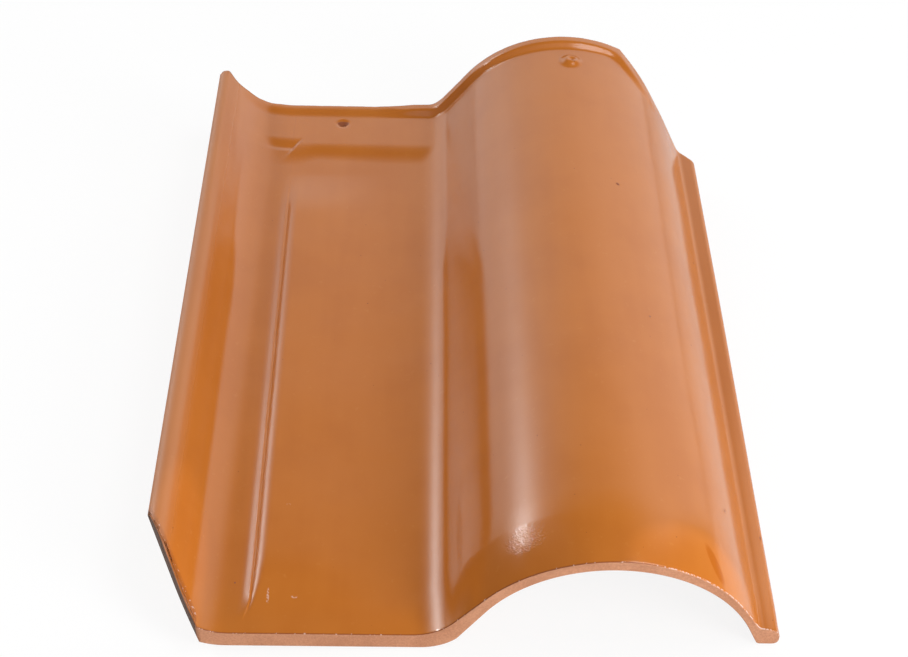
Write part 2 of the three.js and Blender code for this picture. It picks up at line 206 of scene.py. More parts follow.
@dataclass
class Section:
    """The tile's section, in mm: a lip, a flat pan, a round roll and a toe with a narrow ledge."""

    width: float = 300.0
    length: float = 420.0
    pan_thickness: float = 9.5
    roll_thickness: float = 6.3
    lip_height: float = 28.5
    lip_tip_radius: float = 6.5
    lip_angle: float = 57.0
    lip_fillet: float = 28.0
    lip_thickness: float = 9.0
    lip_under_radius: float = 31.0
    lip_edge: float = 1.3        # how far its outer edge is rounded to each side
    crown_height: float = 55.0
    crown_radius: float = 75.0
    flank_angle: float = 51.0
    toe_flank_angle: float = 57.0
    hollow_angle: float = 57.0
    hollow_toe_angle: float = 65.0
    hollow_toe_radius: float = 73.0
    valley_fillet: float = 26.0
    foot_corner_drop: float = 2.4
    foot_radius: float = 24.0
    toe_ledge: float = 7.7
    toe_gutter_radius: float = 3.5
    toe_gutter_height: float = 7.5
    toe_edge_angle: float = 3.0
    toe_edge_radius: float = 2.5
    toe_bottom: float = -4.0
    toe_bottom_radius: float = 3.0
    toe_inner_radius: float = 2.0

    def __post_init__(self) -> None:
        """Works out where the section's arcs stand."""
        lip, flank, toe_flank, hollow, toe = (math.radians(angle) for angle in (
            self.lip_angle, self.flank_angle, self.toe_flank_angle, self.hollow_angle, self.toe_edge_angle))
        self.crown_z = self.crown_height - self.crown_radius
        self.hollow_radius = self.crown_radius - self.roll_thickness
        self.hollow_toe_z = self.crown_height - self.roll_thickness - self.hollow_toe_radius
        self.lip_z = self.lip_height - self.lip_tip_radius
        self.gutter_x = self.width - self.toe_ledge
        self.gutter_z = self.toe_gutter_height + self.toe_gutter_radius
        gutter_top = self.toe_gutter_height + self.toe_gutter_radius * (1.0 - math.cos(toe_flank))
        self.flank_end_x = self.gutter_x - self.toe_gutter_radius * math.sin(toe_flank)
        self.crown_x = self.flank_end_x - flank_run(self.crown_radius, self.crown_z, toe_flank, gutter_top)
        self.tip_start = (270.0 - self.lip_angle
                          - math.degrees(math.acos(self.lip_thickness / self.lip_tip_radius - 1.0)))
        self.lip_x = -self.lip_tip_radius * math.cos(math.radians(self.tip_start))
        self.edge_z = self.lip_z + self.lip_tip_radius * math.sin(math.radians(self.tip_start))
        self.face_x = self.lip_x + self.lip_tip_radius * math.sin(lip)
        face_z = self.lip_z + self.lip_tip_radius * math.cos(lip)
        self.lip_fillet_x = (self.face_x + (face_z - self.lip_fillet * (1.0 - math.cos(lip))) / math.tan(lip)
                             + self.lip_fillet * math.sin(lip))
        self.under_z = self.lip_under_radius - self.pan_thickness
        self.under_x = self.face_x + (self.lip_under_radius - self.lip_thickness
                                      - (self.under_z - face_z) * math.cos(lip)) / math.sin(lip)
        valley_top = self.valley_fillet * (1.0 - math.cos(flank))
        self.valley_x = (self.crown_x - self.valley_fillet * math.sin(flank)
                         - flank_run(self.crown_radius, self.crown_z, flank, valley_top))
        self.foot_corner_x = self.crown_x - flank_run(
            self.hollow_radius, self.crown_z, hollow, -self.foot_corner_drop)
        foot_rise = self.pan_thickness - self.foot_corner_drop
        self.foot_run = math.sqrt(self.foot_radius ** 2 - (self.foot_radius - foot_rise) ** 2)
        self.foot_x = self.foot_corner_x - self.foot_run
        edge_top_x = self.width - self.toe_edge_radius * (1.0 + math.sin(toe))
        rise_x = self.gutter_x + self.toe_gutter_radius * math.sin(toe)
        rise_z = self.gutter_z - self.toe_gutter_radius * math.cos(toe)
        self.toe_edge_z = (rise_z + (edge_top_x - rise_x) * math.tan(toe)
                           - self.toe_edge_radius * math.cos(toe))

    def upper(self) -> SectionLine:
        """Joins the upper line's arcs.

        Returns:
            The line: lip tip, lip fillet, valley, roll, gutter and toe edge.
        """
        return SectionLine([
            arc(self.lip_x, self.lip_z, self.lip_tip_radius,
                self.tip_start - math.degrees(self.lip_edge / self.lip_tip_radius), 90 - self.lip_angle),
            arc(self.lip_fillet_x, self.lip_fillet, self.lip_fillet, 270 - self.lip_angle, 270),
            arc(self.valley_x, self.valley_fillet, self.valley_fillet, 270, 270 + self.flank_angle),
            arc(self.crown_x, self.crown_z, self.crown_radius,
                90 + self.flank_angle, 90 - self.toe_flank_angle),
            arc(self.gutter_x, self.gutter_z, self.toe_gutter_radius,
                270 - self.toe_flank_angle, 270 + self.toe_edge_angle),
            arc(self.width - self.toe_edge_radius, self.toe_edge_z, self.toe_edge_radius,
                90 + self.toe_edge_angle, 0),
        ], outward=1.0)

    def lower(self) -> SectionLine:
        """Joins the lower line's arcs.

        Returns:
            The line: lip, pan underside, foot, hollow and toe bottom.
        """
        lip, hollow = math.radians(self.lip_angle), math.radians(self.hollow_toe_angle)
        inner_top = self.toe_bottom + self.toe_inner_radius * (1.0 - math.cos(hollow))
        inner_x = (self.crown_x + self.toe_inner_radius * math.sin(hollow)
                   + flank_run(self.hollow_toe_radius, self.hollow_toe_z, hollow, inner_top))
        sweep = math.degrees(math.asin(self.foot_run / self.foot_radius))
        edge = (self.lip_edge * math.cos(lip), self.edge_z - self.lip_edge * math.sin(lip))
        return SectionLine([
            np.array([edge]),
            arc(self.under_x, self.under_z, self.lip_under_radius, 270 - self.lip_angle, 270),
            arc(self.foot_x, self.foot_radius - self.pan_thickness, self.foot_radius, 270, 270 + sweep),
            arc(self.crown_x, self.crown_z, self.hollow_radius, 90 + self.hollow_angle, 90),
            arc(self.crown_x, self.hollow_toe_z, self.hollow_toe_radius, 90, 90 - self.hollow_toe_angle)[1:],
            arc(inner_x, self.toe_bottom + self.toe_inner_radius, self.toe_inner_radius,
                270 - self.hollow_toe_angle, 270),
            arc(self.width - self.toe_bottom_radius, self.toe_bottom + self.toe_bottom_radius,
                self.toe_bottom_radius, -90, 0),
        ], outward=-1.0)


# ---- Forms pressed into the upper face -----------------------------------------------------------


@dataclass
class Land:
    """The raised land along the head, in a seat beside the lip and a pan part, with sloping risers."""

    rise: float = 2.1
    seat_foot: float = 371.6
    seat_top: float = 386.8
    pan_foot: tuple[float, float] = (366.0, 362.0)     # beside the rib and beside the valley
    pan_top: float = 381.2
    join_x: float = 51.0
    join_lean: float = 0.6            # how much the join moves across for each mm along
    join_width: float = 2.6
    soft_x: float = 66.0              # up to there the pan's riser starts early
    soft_run: float = 7.0
    far_x: float = 116.0
    crease: float = 1.2               # width over which its foot and its ends are filled

    def height(self, x: np.ndarray, y: np.ndarray) -> np.ndarray:
        """Works out the land: rise times a smoothstep up its riser, which stands elsewhere in the seat.

        Args:
            x, y: places, in mm.

        Returns:
            Its level over the pan: 0 before its riser, the full rise behind it.
        """
        near, far = self.pan_foot
        foot = near + (far - near) * smoothstep(x, self.join_x, self.far_x)
        foot = foot - self.soft_run * fade(x, self.join_x, self.soft_x)
        pan = share_of(y, foot, self.pan_top)
        seat = share_of(y, self.seat_foot, self.seat_top)
        past = x - self.join_x - self.join_lean * (y - (self.seat_foot + self.seat_top) / 2.0)
        side = smoothstep(past, -self.join_width / 2.0, self.join_width / 2.0)
        return self.rise * smoothstep(seat * (1.0 - side) + pan * side, 0.0, 1.0)


@dataclass
class LipCove:
    """How the lip's face opens towards the head into one wide cove that meets the land."""

    radius: float = 45.0
    centre_x: float = 48.7
    arc_end: float = 44.0        # how far from its centre its arc is followed
    tip_lift: float = 1.3
    tip_run: float = 3.0         # from the lip's outer edge to the full lift
    crease: float = 2.0          # width over which the arc turns into the lip's tip
    spread: tuple[float, float] = (12.0, 26.0)      # how far up the lip the riser fades out
    start: float = 245.0
    end: float = 408.0

    def shape(self, x: np.ndarray, y: np.ndarray, level: np.ndarray, foot: np.ndarray) -> np.ndarray:
        """Blends the upper face beside the lip from the plain section to the cove.

        The cove is a circle's arc on its foot: foot + r - sqrt(r^2 - d^2), d from its middle, up to the
        lip's lifted tip.

        Args:
            x, y: places.
            level: the upper face's height there.
            foot: its height at the cove's foot, at the same y.

        Returns:
            The height with the cove, which is complete at the head.
        """
        reach = np.clip(self.centre_x - x, 0.0, self.arc_end)
        cove = foot + self.radius - np.sqrt(self.radius ** 2 - reach ** 2)
        tip = level + self.tip_lift * smoothstep(x, 0.0, self.tip_run)
        cove = -smooth_max(-cove, -tip, self.crease)
        share = smoothstep(y, self.start, self.end) * (x < self.centre_x)
        return level + (cove - level) * share


@dataclass
class Rib:
    """The thin rib beside the seat: a slope up to a fine crest, a small notch behind it, a second slope
    up, and a long level back down to the pan."""

    x: float = 50.0              # of its crest near the nose
    lean: float = -0.0055        # how much its line moves across for each mm along
    rise: float = 1.6
    left_width: float = 4.6
    left_power: float = 1.4
    notch: float = 0.5
    notch_width: float = 0.6
    climb: float = 2.3
    right_width: float = 6.2
    back: tuple[float, float] = (57.0, 114.0)
    nose: tuple[float, float] = (5.5, 24.0)
    nose_bend: float = 3.0
    climb_nose: tuple[float, float] = (5.0, 44.0)
    climb_start: float = 0.1     # how much of the second slope there is at the nose itself
    head: tuple[float, float] = (312.0, 352.0)

    def height(self, x: np.ndarray, y: np.ndarray) -> np.ndarray:
        """Works out the rib: rise (1 - u)^power before its crest, climb (1.5 u - 0.5 u^3) behind it.

        u is the share of each slope's width, counted from the crest. The crest's line bends to the lip
        at the nose, the second slope narrows there, and both fade out at the two ends.

        Args:
            x, y: places, in mm.

        Returns:
            Its level over the pan.
        """
        full = smoothstep(y, *self.nose)
        size = self.climb_start + (1.0 - self.climb_start) * smoothstep(y, *self.climb_nose)
        crest = (self.x + self.lean * np.maximum(y - self.climb_nose[1], 0.0)
                 - self.nose_bend * (1.0 - full) ** 2)
        away = x - crest
        left = self.rise * np.clip(1.0 + away / self.left_width, 0.0, 1.0) ** self.left_power
        share = np.clip((away - self.notch_width) / (self.right_width * size), 0.0, 1.0)
        right = size * (self.rise - self.notch + self.climb * share * (1.5 - 0.5 * share * share))
        past = smoothstep(away, 0.0, self.notch_width)
        form = left * (1.0 - past) + right * past * fade(x, *self.back)
        return form * full * fade(y, *self.head)


@dataclass
class HeadBead:
    """The bead along the head edge and down the corner cut: low on the pan, full on the roll."""

    places: tuple[float, ...] = (      # places across the tile, and its rise at each of them
        13.0, 22.0, 30.0, 100.0, 115.0, 124.0, 135.0, 160.0, 216.0, 252.0, 264.0, 275.0)
    rises: tuple[float, ...] = (0.0, 0.8, 1.3, 1.4, 2.4, 3.4, 3.8, 3.3, 3.1, 2.8, 1.4, 0.0)
    pan_crest: float = 1.6       # from the edge
    pan_foot: float = 11.5
    roll_crest: float = 4.6
    roll_foot: float = 10.3
    change: tuple[float, float] = (104.0, 124.0)

    def height(self, x: np.ndarray, inset: np.ndarray) -> np.ndarray:
        """Works out the bead: level from the edge to its crest, then a squared cosine down to its foot.

        Args:
            x: places across the tile.
            inset: their distance from the head edge or its cut.

        Returns:
            The bead's rise.
        """
        share = smoothstep(x, *self.change)
        crest = self.pan_crest + (self.roll_crest - self.pan_crest) * share
        foot = self.pan_foot + (self.roll_foot - self.pan_foot) * share
        front = np.cos(share_of(inset, crest, foot) * math.pi / 2.0) ** 2
        return np.interp(x, self.places, self.rises) * front


@dataclass
class NailPoint:
    """The marked nail point: a wide soft dimple with a blind hole in its middle."""

    x: float = 79.2
    y: float = 402.4
    dimple_radius: float = 5.0
    dimple_depth: float = 1.7
    hole_radius: float = 3.0
    hole_floor: float = 0.6      # radius of its level floor
    hole_depth: float = 0.3

    def height(self, x: np.ndarray, y: np.ndarray) -> np.ndarray:
        """Works out the dimple and the hole in it, each an eased step by the distance from their middle.

        Args:
            x, y: places, in mm.

        Returns:
            Their depth, as a negative rise.
        """
        radius = np.hypot(x - self.x, y - self.y)
        dimple = self.dimple_depth * fade(radius, 0.0, self.dimple_radius)
        return -dimple - self.hole_depth * fade(radius, self.hole_floor, self.hole_radius)


@dataclass
class Pip:
    """The round pip on the crown near the head, with a dimple in its top."""

    x: float = 221.0
    y: float = 397.0
    radius: float = 7.6
    top_radius: float = 1.9      # where its top starts to fall
    rise: float = 2.4
    dimple_x: float = 1.0        # of its dimple's middle, from its own
    dimple_y: float = 0.6
    dimple_radius: float = 3.4
    dimple_depth: float = 1.7

    def height(self, x: np.ndarray, y: np.ndarray) -> np.ndarray:
        """Works out the pip: an eased knob by distance, less an eased dimple set off towards its right.

        Args:
            x, y: places, in mm.

        Returns:
            Its rise.
        """
        radius = np.hypot(x - self.x, y - self.y)
        knob = self.rise * fade(radius, self.top_radius, self.radius)
        hollow = np.hypot(x - self.x - self.dimple_x, y - self.y - self.dimple_y)
        return knob - self.dimple_depth * fade(hollow, 0.0, self.dimple_radius)


@dataclass
class ToeLedge:
    """How the toe's ledge rounds down to its outer edge, most of all at the nose."""

    inner_x: float = 290.5
    outer_x: float = 300.0
    depth: float = 3.2
    end: float = 260.0

    def sink(self, x: np.ndarray, y: np.ndarray) -> np.ndarray:
        """Returns how far the ledge lies below its section: depth u^2 across it, less along the tile."""
        share = share_of(x, self.inner_x, self.outer_x)
        return self.depth * share * share * fade(y, 0.0, self.end)


@dataclass
class RollSwell:
    """How the roll stands proud of its section behind the nose, where the clay was drawn down."""

    rise: float = 3.4
    reach: float = 34.0
    power: float = 1.3
    rest: float = 1.3            # what is left of it further back
    settle: float = 230.0
    tuck: float = 0.5
    tuck_reach: float = 20.0
    left: tuple[float, float] = (130.0, 185.0)
    right: tuple[float, float] = (262.0, 290.0)

    def height(self, x: np.ndarray, y: np.ndarray) -> np.ndarray:
        """Works out the swell: rise (1 - (1 - y / reach)^power) and its slow fall, less a tuck at the nose.

        Args:
            x, y: places, in mm.

        Returns:
            How far the roll stands proud of its section.
        """
        over = smoothstep(x, *self.left) * fade(x, *self.right)
        swell = self.rise * (1.0 - np.clip(1.0 - y / self.reach, 0.0, 1.0) ** self.power)
        fall = (self.rise - self.rest) * smoothstep(y, self.reach, self.settle)
        return over * (swell - fall) - self.tuck * np.clip(1.0 - y / self.tuck_reach, 0.0, 1.0) ** 2


@dataclass
class BattenNibs:
    """The two nibs under the pan that hook over the batten, their flat faces towards the nose."""

    centres: tuple[float, ...] = (52.0, 100.0)
    width: float = 26.0
    drop: float = 12.0
    face_y: float = 386.0
    root_depth: float = 18.0
    tip_depth: float = 12.0
    draft: float = 1.6

    def depth(self, x: np.ndarray, y: np.ndarray) -> np.ndarray:
        """Works out the nibs: drop times an eased step on each of their sides.

        Args:
            x, y: places, in mm.

        Returns:
            How far they stand below the pan's underside.
        """
        half = self.width / 2.0 - self.draft
        across = sum(plateau(x, centre - half, centre + half, self.draft) for centre in self.centres)
        face = smoothstep(y, self.face_y, self.face_y + self.draft)
        back = fade(y, self.face_y + self.tip_depth, self.face_y + self.root_depth)
        return self.drop * across * back * face


# ---- The tile ------------------------------------------------------------------------------------


@dataclass(frozen=True)
class CornerCut:
    """A straight cut across a corner of the tile, by its length across and along."""

    across: float
    along: float

    @property
    def slant(self) -> float:
        """Returns how much longer the cut's edge is than its length across."""
        return math.hypot(self.along, self.across) / self.across

    def line(self, side: np.ndarray) -> np.ndarray:
        """Returns how far the cut's line lies from the tile's end, at a distance from its side."""
        return self.along * (1.0 - side / self.across)

    def depth(self, side: np.ndarray) -> np.ndarray:
        """Returns how much of the tile's length the cut takes, at a distance from its side."""
        return np.clip(self.line(side), 0.0, self.along)


@dataclass
class RoofTile:
    """The whole tile: its section carried from nose to head, its forms, cut corners and broken arrises."""

    section: Section = field(default_factory=Section)
    land: Land = field(default_factory=Land)
    cove: LipCove = field(default_factory=LipCove)
    rib: Rib = field(default_factory=Rib)
    bead: HeadBead = field(default_factory=HeadBead)
    nail: NailPoint = field(default_factory=NailPoint)
    pip: Pip = field(default_factory=Pip)
    ledge: ToeLedge = field(default_factory=ToeLedge)
    swell: RollSwell = field(default_factory=RollSwell)
    nibs: BattenNibs = field(default_factory=BattenNibs)
    nose_cut: CornerCut = CornerCut(27.5, 50.0)
    head_cut: CornerCut = CornerCut(48.0, 60.0)
    cut_fade: float = 190.0          # length over which the rows turn from the cut to square
    head_turn: float = 4.0           # width over which the head edge's inset rounds into the cut's
    arris: float = 0.35
    arris_wear: float = 0.6          # how much wider it is where it is worn
    wear_cell: float = 2.6
    wear_range: tuple[float, float] = (-0.2, 1.0)
    cut_wear: float = 1.1            # how much wider the arris is along the nose's cut
    cut_wear_run: float = 5.0
    waviness: float = 0.12
    waves: tuple[tuple[float, float, int], ...] = ((1.0, 38.0, 5), (0.4, 13.0, 6))    # share, cell, seed
    wave_edges: tuple[float, float, float] = (8.0, 12.0, 6.0)    # level sides of lip and toe, and the fade
    break_depth: float = 0.096       # how far the middle of an end face is broken in
    break_cell: float = 2.2
    break_stretch: float = 1.7
    corner_reach: tuple[float, float] = (27.0, 55.0)     # x and y up to which the nose's cut is marked
    dark_cut_reach: float = 0.3         # how far in from the cut's face its clay is made near black
    row_inset: float = 1.4           # of the first and the last row between the arrises
    fine_nose: float = 28.0          # up to there, and from fine_head on, the rows stand close
    fine_head: float = 348.0
    row_counts: tuple[int, int, int] = (26, 44, 84)
    rib_splits: tuple[float, ...] = (-3.6, -0.3, 1.5, 9.0)    # where its columns change, from its line
    nail_split: float = 11.0         # the same, to each side of the nail point
    pip_splits: tuple[float, float] = (-8.0, 14.0)       # the same, from the crown
    gutter_split: float = 0.5        # the same, past the gutter's middle
    lip_under: tuple[float, float] = (5.0, 12.0)         # x below the ends of the lip's tip and face
    toe_under: tuple[float, float] = (17.0, 10.4)        # the same for the toe's flank and gutter
    arris_steps: int = 4
    face_rows: int = 5

    def stations(self) -> tuple[np.ndarray, np.ndarray]:
        """Works out matched columns on the upper and the lower line.

        Both lines are split at the same features, and a stretch has the same number of columns on
        both, so that the columns of the two lines stand opposite each other.

        Returns:
            The upper and the lower columns, as rows of x, z and normal.
        """
        s = self.section
        upper, lower = s.upper(), s.lower()
        flank, hollow = math.radians(s.flank_angle), math.radians(s.hollow_angle)
        nose_cut, head_cut = self.nose_cut.across, s.width - self.head_cut.across
        nail, crown = self.nail.x, s.crown_x
        rib_foot, rib_crest, rib_notch, rib_top = (self.rib.x + offset for offset in self.rib_splits)
        pip_left, pip_right = (crown + offset for offset in self.pip_splits)
        tip_under, face_under = self.lip_under
        flank_under, gutter_under = (s.width - offset for offset in self.toe_under)
        fillet_start = s.lip_fillet_x - s.lip_fillet * math.sin(math.radians(s.lip_angle))
        splits = (  # x on the upper line, x on the lower line, columns up to there
            (s.face_x, tip_under, 14),                          # the lip's tip
            (fillet_start, face_under, 12),                     # its straight face
            (nose_cut, nose_cut, 8),
            (s.lip_fillet_x, s.lip_fillet_x, 10),
            (rib_foot, rib_foot, 3),
            (rib_crest, rib_crest, 10),                         # the rib's first slope
            (rib_notch, rib_notch, 9),                          # its crest and notch
            (rib_top, rib_top, 14),                             # its second slope
            (nail - self.nail_split, nail - self.nail_split, 7),
            (nail + self.nail_split, nail + self.nail_split, 30),
            (s.valley_x, s.foot_x, 24),                         # the rest of the pan
            (s.valley_x + s.valley_fillet * math.sin(flank), s.foot_corner_x, 14),
            (crown - s.crown_radius * math.sin(flank), crown - s.hollow_radius * math.sin(hollow), 12),
            (pip_left, pip_left, 30),
            (pip_right, pip_right, 22),                         # the pip
            (head_cut, head_cut, 10),
            (s.flank_end_x, flank_under, 18),                   # the toe's flank
            (s.gutter_x + self.gutter_split, gutter_under, 7),  # its gutter
            (s.width - s.toe_edge_radius, s.width - s.toe_bottom_radius, 9),
            (s.width, s.width, 6),                              # the toe's edge
        )
        tops, bottoms = [np.zeros(1)], [np.zeros(1)]
        for top_x, bottom_x, count in splits:
            top = upper.length if top_x == s.width else upper.length_at(top_x)
            bottom = lower.length if bottom_x == s.width else lower.length_at(bottom_x)
            tops.append(np.linspace(tops[-1][-1], top, count + 1)[1:])
            bottoms.append(np.linspace(bottoms[-1][-1], bottom, count + 1)[1:])
        return upper.sample(np.concatenate(tops)), lower.sample(np.concatenate(bottoms))

    def rows(self) -> np.ndarray:
        """Spaces the rows: close at nose and head, wide between.

        Returns:
            Their places between the two arrises.
        """
        near_nose, between, near_head = self.row_counts
        return np.concatenate([
            np.linspace(self.row_inset, self.fine_nose, near_nose),
            np.linspace(self.fine_nose, self.fine_head, between)[1:-1],
            np.linspace(self.fine_head, self.section.length - self.row_inset, near_head)])

    def ends_at(self, x: np.ndarray) -> tuple[np.ndarray, np.ndarray]:
        """Returns where the tile starts and ends at x, inside its two corner cuts."""
        s = self.section
        return self.nose_cut.depth(x), s.length - self.head_cut.depth(s.width - x)

    def loop(self) -> tuple[np.ndarray, int]:
        """Joins the columns into one closed loop round the section.

        Returns:
            The loop as rows of x, z and normal (upper line, toe face, lower line back, lip face),
            and the number of columns on each line.
        """
        upper, lower = self.stations()
        toe = self.rungs(upper[-1], lower[-1], (upper[-1, :2] + lower[-1, :2]) / 2.0)
        lip = self.rungs(lower[0], upper[0], np.array([0.0, self.section.edge_z]))
        return np.concatenate([upper, toe, lower[::-1], lip]), len(upper)

    def rungs(self, first: np.ndarray, last: np.ndarray, corner: np.ndarray) -> np.ndarray:
        """Works out columns from the end of one line to the end of the other.

        Args:
            first, last: the two ends, each x, z and normal.
            corner: point that pulls the curve between them outwards.

        Returns:
            The columns as rows of x, z and normal, on a parabola between the ends.
        """
        share = np.linspace(0.0, 1.0, self.face_rows + 2)[1:-1, None]
        place = (1.0 - share) ** 2 * first[:2] + 2.0 * share * (1.0 - share) * corner + share ** 2 * last[:2]
        normal = (1.0 - share) * first[2:] + share * last[2:]
        return np.hstack([place, normal / np.linalg.norm(normal, axis=1, keepdims=True)])

    def arris_radius(self, x: np.ndarray, z: np.ndarray, is_upper: np.ndarray) -> np.ndarray:
        """Works out the arrises: uneven by noise along the upper line, and wider along the nose's cut.

        Args:
            x, z: the columns' places.
            is_upper: whether each lies on the upper line.

        Returns:
            Each column's arris radius.
        """
        wear = np.clip(value_noise(x + z, np.zeros_like(x), self.wear_cell, seed=11), *self.wear_range)
        radius = self.arris * np.where(is_upper, 1.0 + self.arris_wear * wear, 1.0)
        cut = self.nose_cut.across
        return radius + self.cut_wear * is_upper * fade(x, cut - self.cut_wear_run, cut)

    def upper_level(self, x: np.ndarray, y: np.ndarray, z: np.ndarray) -> np.ndarray:
        """Works out the upper face before its small forms: the section, the land and the lip's cove.

        Args:
            x, y: places.
            z: the section's height there.

        Returns:
            The larger of section and land, blended to the cove. The cove stands on the level beside
            it, and on the land's full rise further up the lip.
        """
        land, cove = self.land, self.cove
        level = smooth_max(z, land.height(x, y), land.crease)
        beside = smooth_max(np.zeros_like(y), land.height(np.full_like(y, cove.centre_x), y), land.crease)
        on_lip = smoothstep(cove.centre_x - x, *cove.spread)
        return cove.shape(x, y, level, beside + (land.rise - beside) * on_lip)

    def small_forms(self, x: np.ndarray, y: np.ndarray) -> np.ndarray:
        """Adds up the upper face's small forms and its slight waves.

        Args:
            x, y: places, in mm.

        Returns:
            Their rise along the section's normal.
        """
        waves = sum(share * value_noise(x, y, cell, seed) for share, cell, seed in self.waves)
        lip_side, toe_side, ramp = self.wave_edges
        return (self.rib.height(x, y) + self.bead.height(x, self.head_inset(x, y)) + self.nail.height(x, y)
                + self.pip.height(x, y) + self.swell.height(x, y)
                + self.waviness * waves * plateau(x, lip_side, self.section.width - toe_side, ramp))

    def points(self) -> tuple[np.ndarray, np.ndarray, np.ndarray, int]:
        """Works out every point of the tile's skin between its two end faces.

        A point starts on the section at x, z. Its y is the row's place, shifted at the ends by the
        corner cuts. The forms lift it, straight up where they are levels and along the section's
        normal where they are small. At both ends the last rows turn down a quarter circle.

        Returns:
            The points as an array of rows, loop columns and x, y, z, the distance of each from its
            nearer end face, the upper mask, and the number of columns on each line.
        """
        s = self.section
        loop, columns = self.loop()
        x, z, normal_x, normal_z = (line[None, :] for line in loop.T)
        column = np.arange(len(loop))
        toe_end = columns + self.face_rows
        is_upper = (column < columns)[None, :]
        is_lower = ((column >= toe_end) & (column < toe_end + columns))[None, :]
        follow = np.clip((toe_end - column) / (self.face_rows + 1.0), 0.0, 1.0)
        turn = np.radians(np.linspace(90.0, 0.0, self.arris_steps + 1))[:, None]
        middle = self.rows()[:, None]
        start, end = self.ends_at(x)
        slant_start = np.where(x < self.nose_cut.across, self.nose_cut.slant, 1.0)
        slant_end = np.where(x > s.width - self.head_cut.across, self.head_cut.slant, 1.0)
        radius = self.arris_radius(x, z, is_upper)
        near_nose = fade(middle, 0.0, self.cut_fade)
        near_head = smoothstep(middle, s.length - self.cut_fade, s.length)
        y = np.concatenate([start + slant_start * radius * (1.0 - np.sin(turn)),
                            middle + start * near_nose - (s.length - end) * near_head,
                            end - slant_end * radius * (1.0 - np.sin(turn[::-1]))])
        drop = np.concatenate([(1.0 - np.cos(turn)) * radius,
                               np.zeros((len(middle), len(loop))),
                               (1.0 - np.cos(turn[::-1])) * radius])
        x, z = np.broadcast_to(x, y.shape), np.broadcast_to(z, y.shape)
        shift = np.where(is_upper, self.small_forms(x, y), 0.0) - drop
        under = np.where(is_lower & (x < s.foot_x), self.nibs.depth(x, y), 0.0)
        level = np.where(is_upper, self.upper_level(x, y, z), z)
        height = level + normal_z * shift - under - self.ledge.sink(x, y) * follow
        out = np.stack([x + normal_x * shift, y, height], axis=-1)
        from_end = np.minimum((y - start) / slant_start, (end - y) / slant_end)
        return out, from_end, np.broadcast_to(is_upper, y.shape), columns

    def head_inset(self, x: np.ndarray, y: np.ndarray) -> np.ndarray:
        """Measures to the head edge and to the corner cut, whichever is nearer, rounded where they meet.

        Args:
            x, y: places, in mm.

        Returns:
            The distance.
        """
        s, cut = self.section, self.head_cut
        from_head = s.length - y
        from_cut = (s.length - cut.line(s.width - x) - y) / cut.slant
        return -smooth_max(-from_head, -from_cut, self.head_turn)

    def build(self) -> bpy.types.Object:
        """Makes the tile's mesh, with its finish's masks as attributes.

        Returns:
            The tile's object.
        """
        skin, from_end, is_upper, columns = self.points()
        rows, around, _ = skin.shape
        ids = np.arange(rows * around).reshape(rows, around)
        skin_bare = np.where(is_upper, 0.0, 1.0)
        skin_bare[[0, 1, -2, -1]] = 1.0          # the glaze is broken off along both end faces
        points, bare, edge = [skin.reshape(-1, 3)], [skin_bare.ravel()], [from_end.ravel()]
        faces = [quads(np.concatenate([ids, ids[:, :1]], axis=1))]
        total = rows * around
        for row, step in ((0, -1), (-1, 1)):     # the nose's face looks the other way
            inner, grid = self.end_face(skin[row], ids[row], columns, total)
            total += len(inner)
            points.append(inner)
            bare.append(np.ones(len(inner)))
            edge.append(np.zeros(len(inner)))
            faces.append(quads(grid[::step]))
        lying = np.concatenate(points)
        mesh = bpy.data.meshes.new(NODE + "_clay")
        mesh.from_pydata(RestPose.of(self).place(lying), [], np.concatenate(faces))
        return self.dress(mesh, lying, np.concatenate(bare), np.concatenate(edge))

    def end_face(self, ring: np.ndarray, ids: np.ndarray, columns: int,
                 first: int) -> tuple[np.ndarray, np.ndarray]:
        """Closes one end with rungs from the upper to the lower line, hollowed by 4 u (1 - u) down them.

        Args:
            ring: the loop's points at that end.
            ids: their vertex numbers.
            columns: columns on each line.
            first: number of the first new vertex.

        Returns:
            The new points inside the face, and the grid of vertex numbers from top to bottom.
        """
        rows = self.face_rows
        top = np.arange(columns)
        toe = columns + np.arange(rows)
        bottom = columns + rows + np.arange(columns)[::-1]
        lip = 2 * columns + rows + np.arange(rows)[::-1]
        shares = np.linspace(0.0, 1.0, rows + 2)[1:-1, None, None]
        inner = ring[top][None, 1:-1] + (ring[bottom] - ring[top])[None, 1:-1] * shares
        uneven = 1.0 + value_noise(inner[..., 0], inner[..., 2] * self.break_stretch, self.break_cell,
                                   seed=8)
        hollow = 4.0 * shares[..., 0] * (1.0 - shares[..., 0])
        inward = np.where(inner[..., 1] < self.section.length / 2.0, 1.0, -1.0)
        inner[..., 1] += inward * self.break_depth * uneven * hollow
        grid = np.empty((rows + 2, columns), dtype=int)
        grid[0], grid[-1] = ids[top], ids[bottom]
        grid[1:-1, 0], grid[1:-1, -1] = ids[lip], ids[toe]
        grid[1:-1, 1:-1] = first + np.arange(rows * (columns - 2)).reshape(rows, columns - 2)
        return inner.reshape(-1, 3), grid

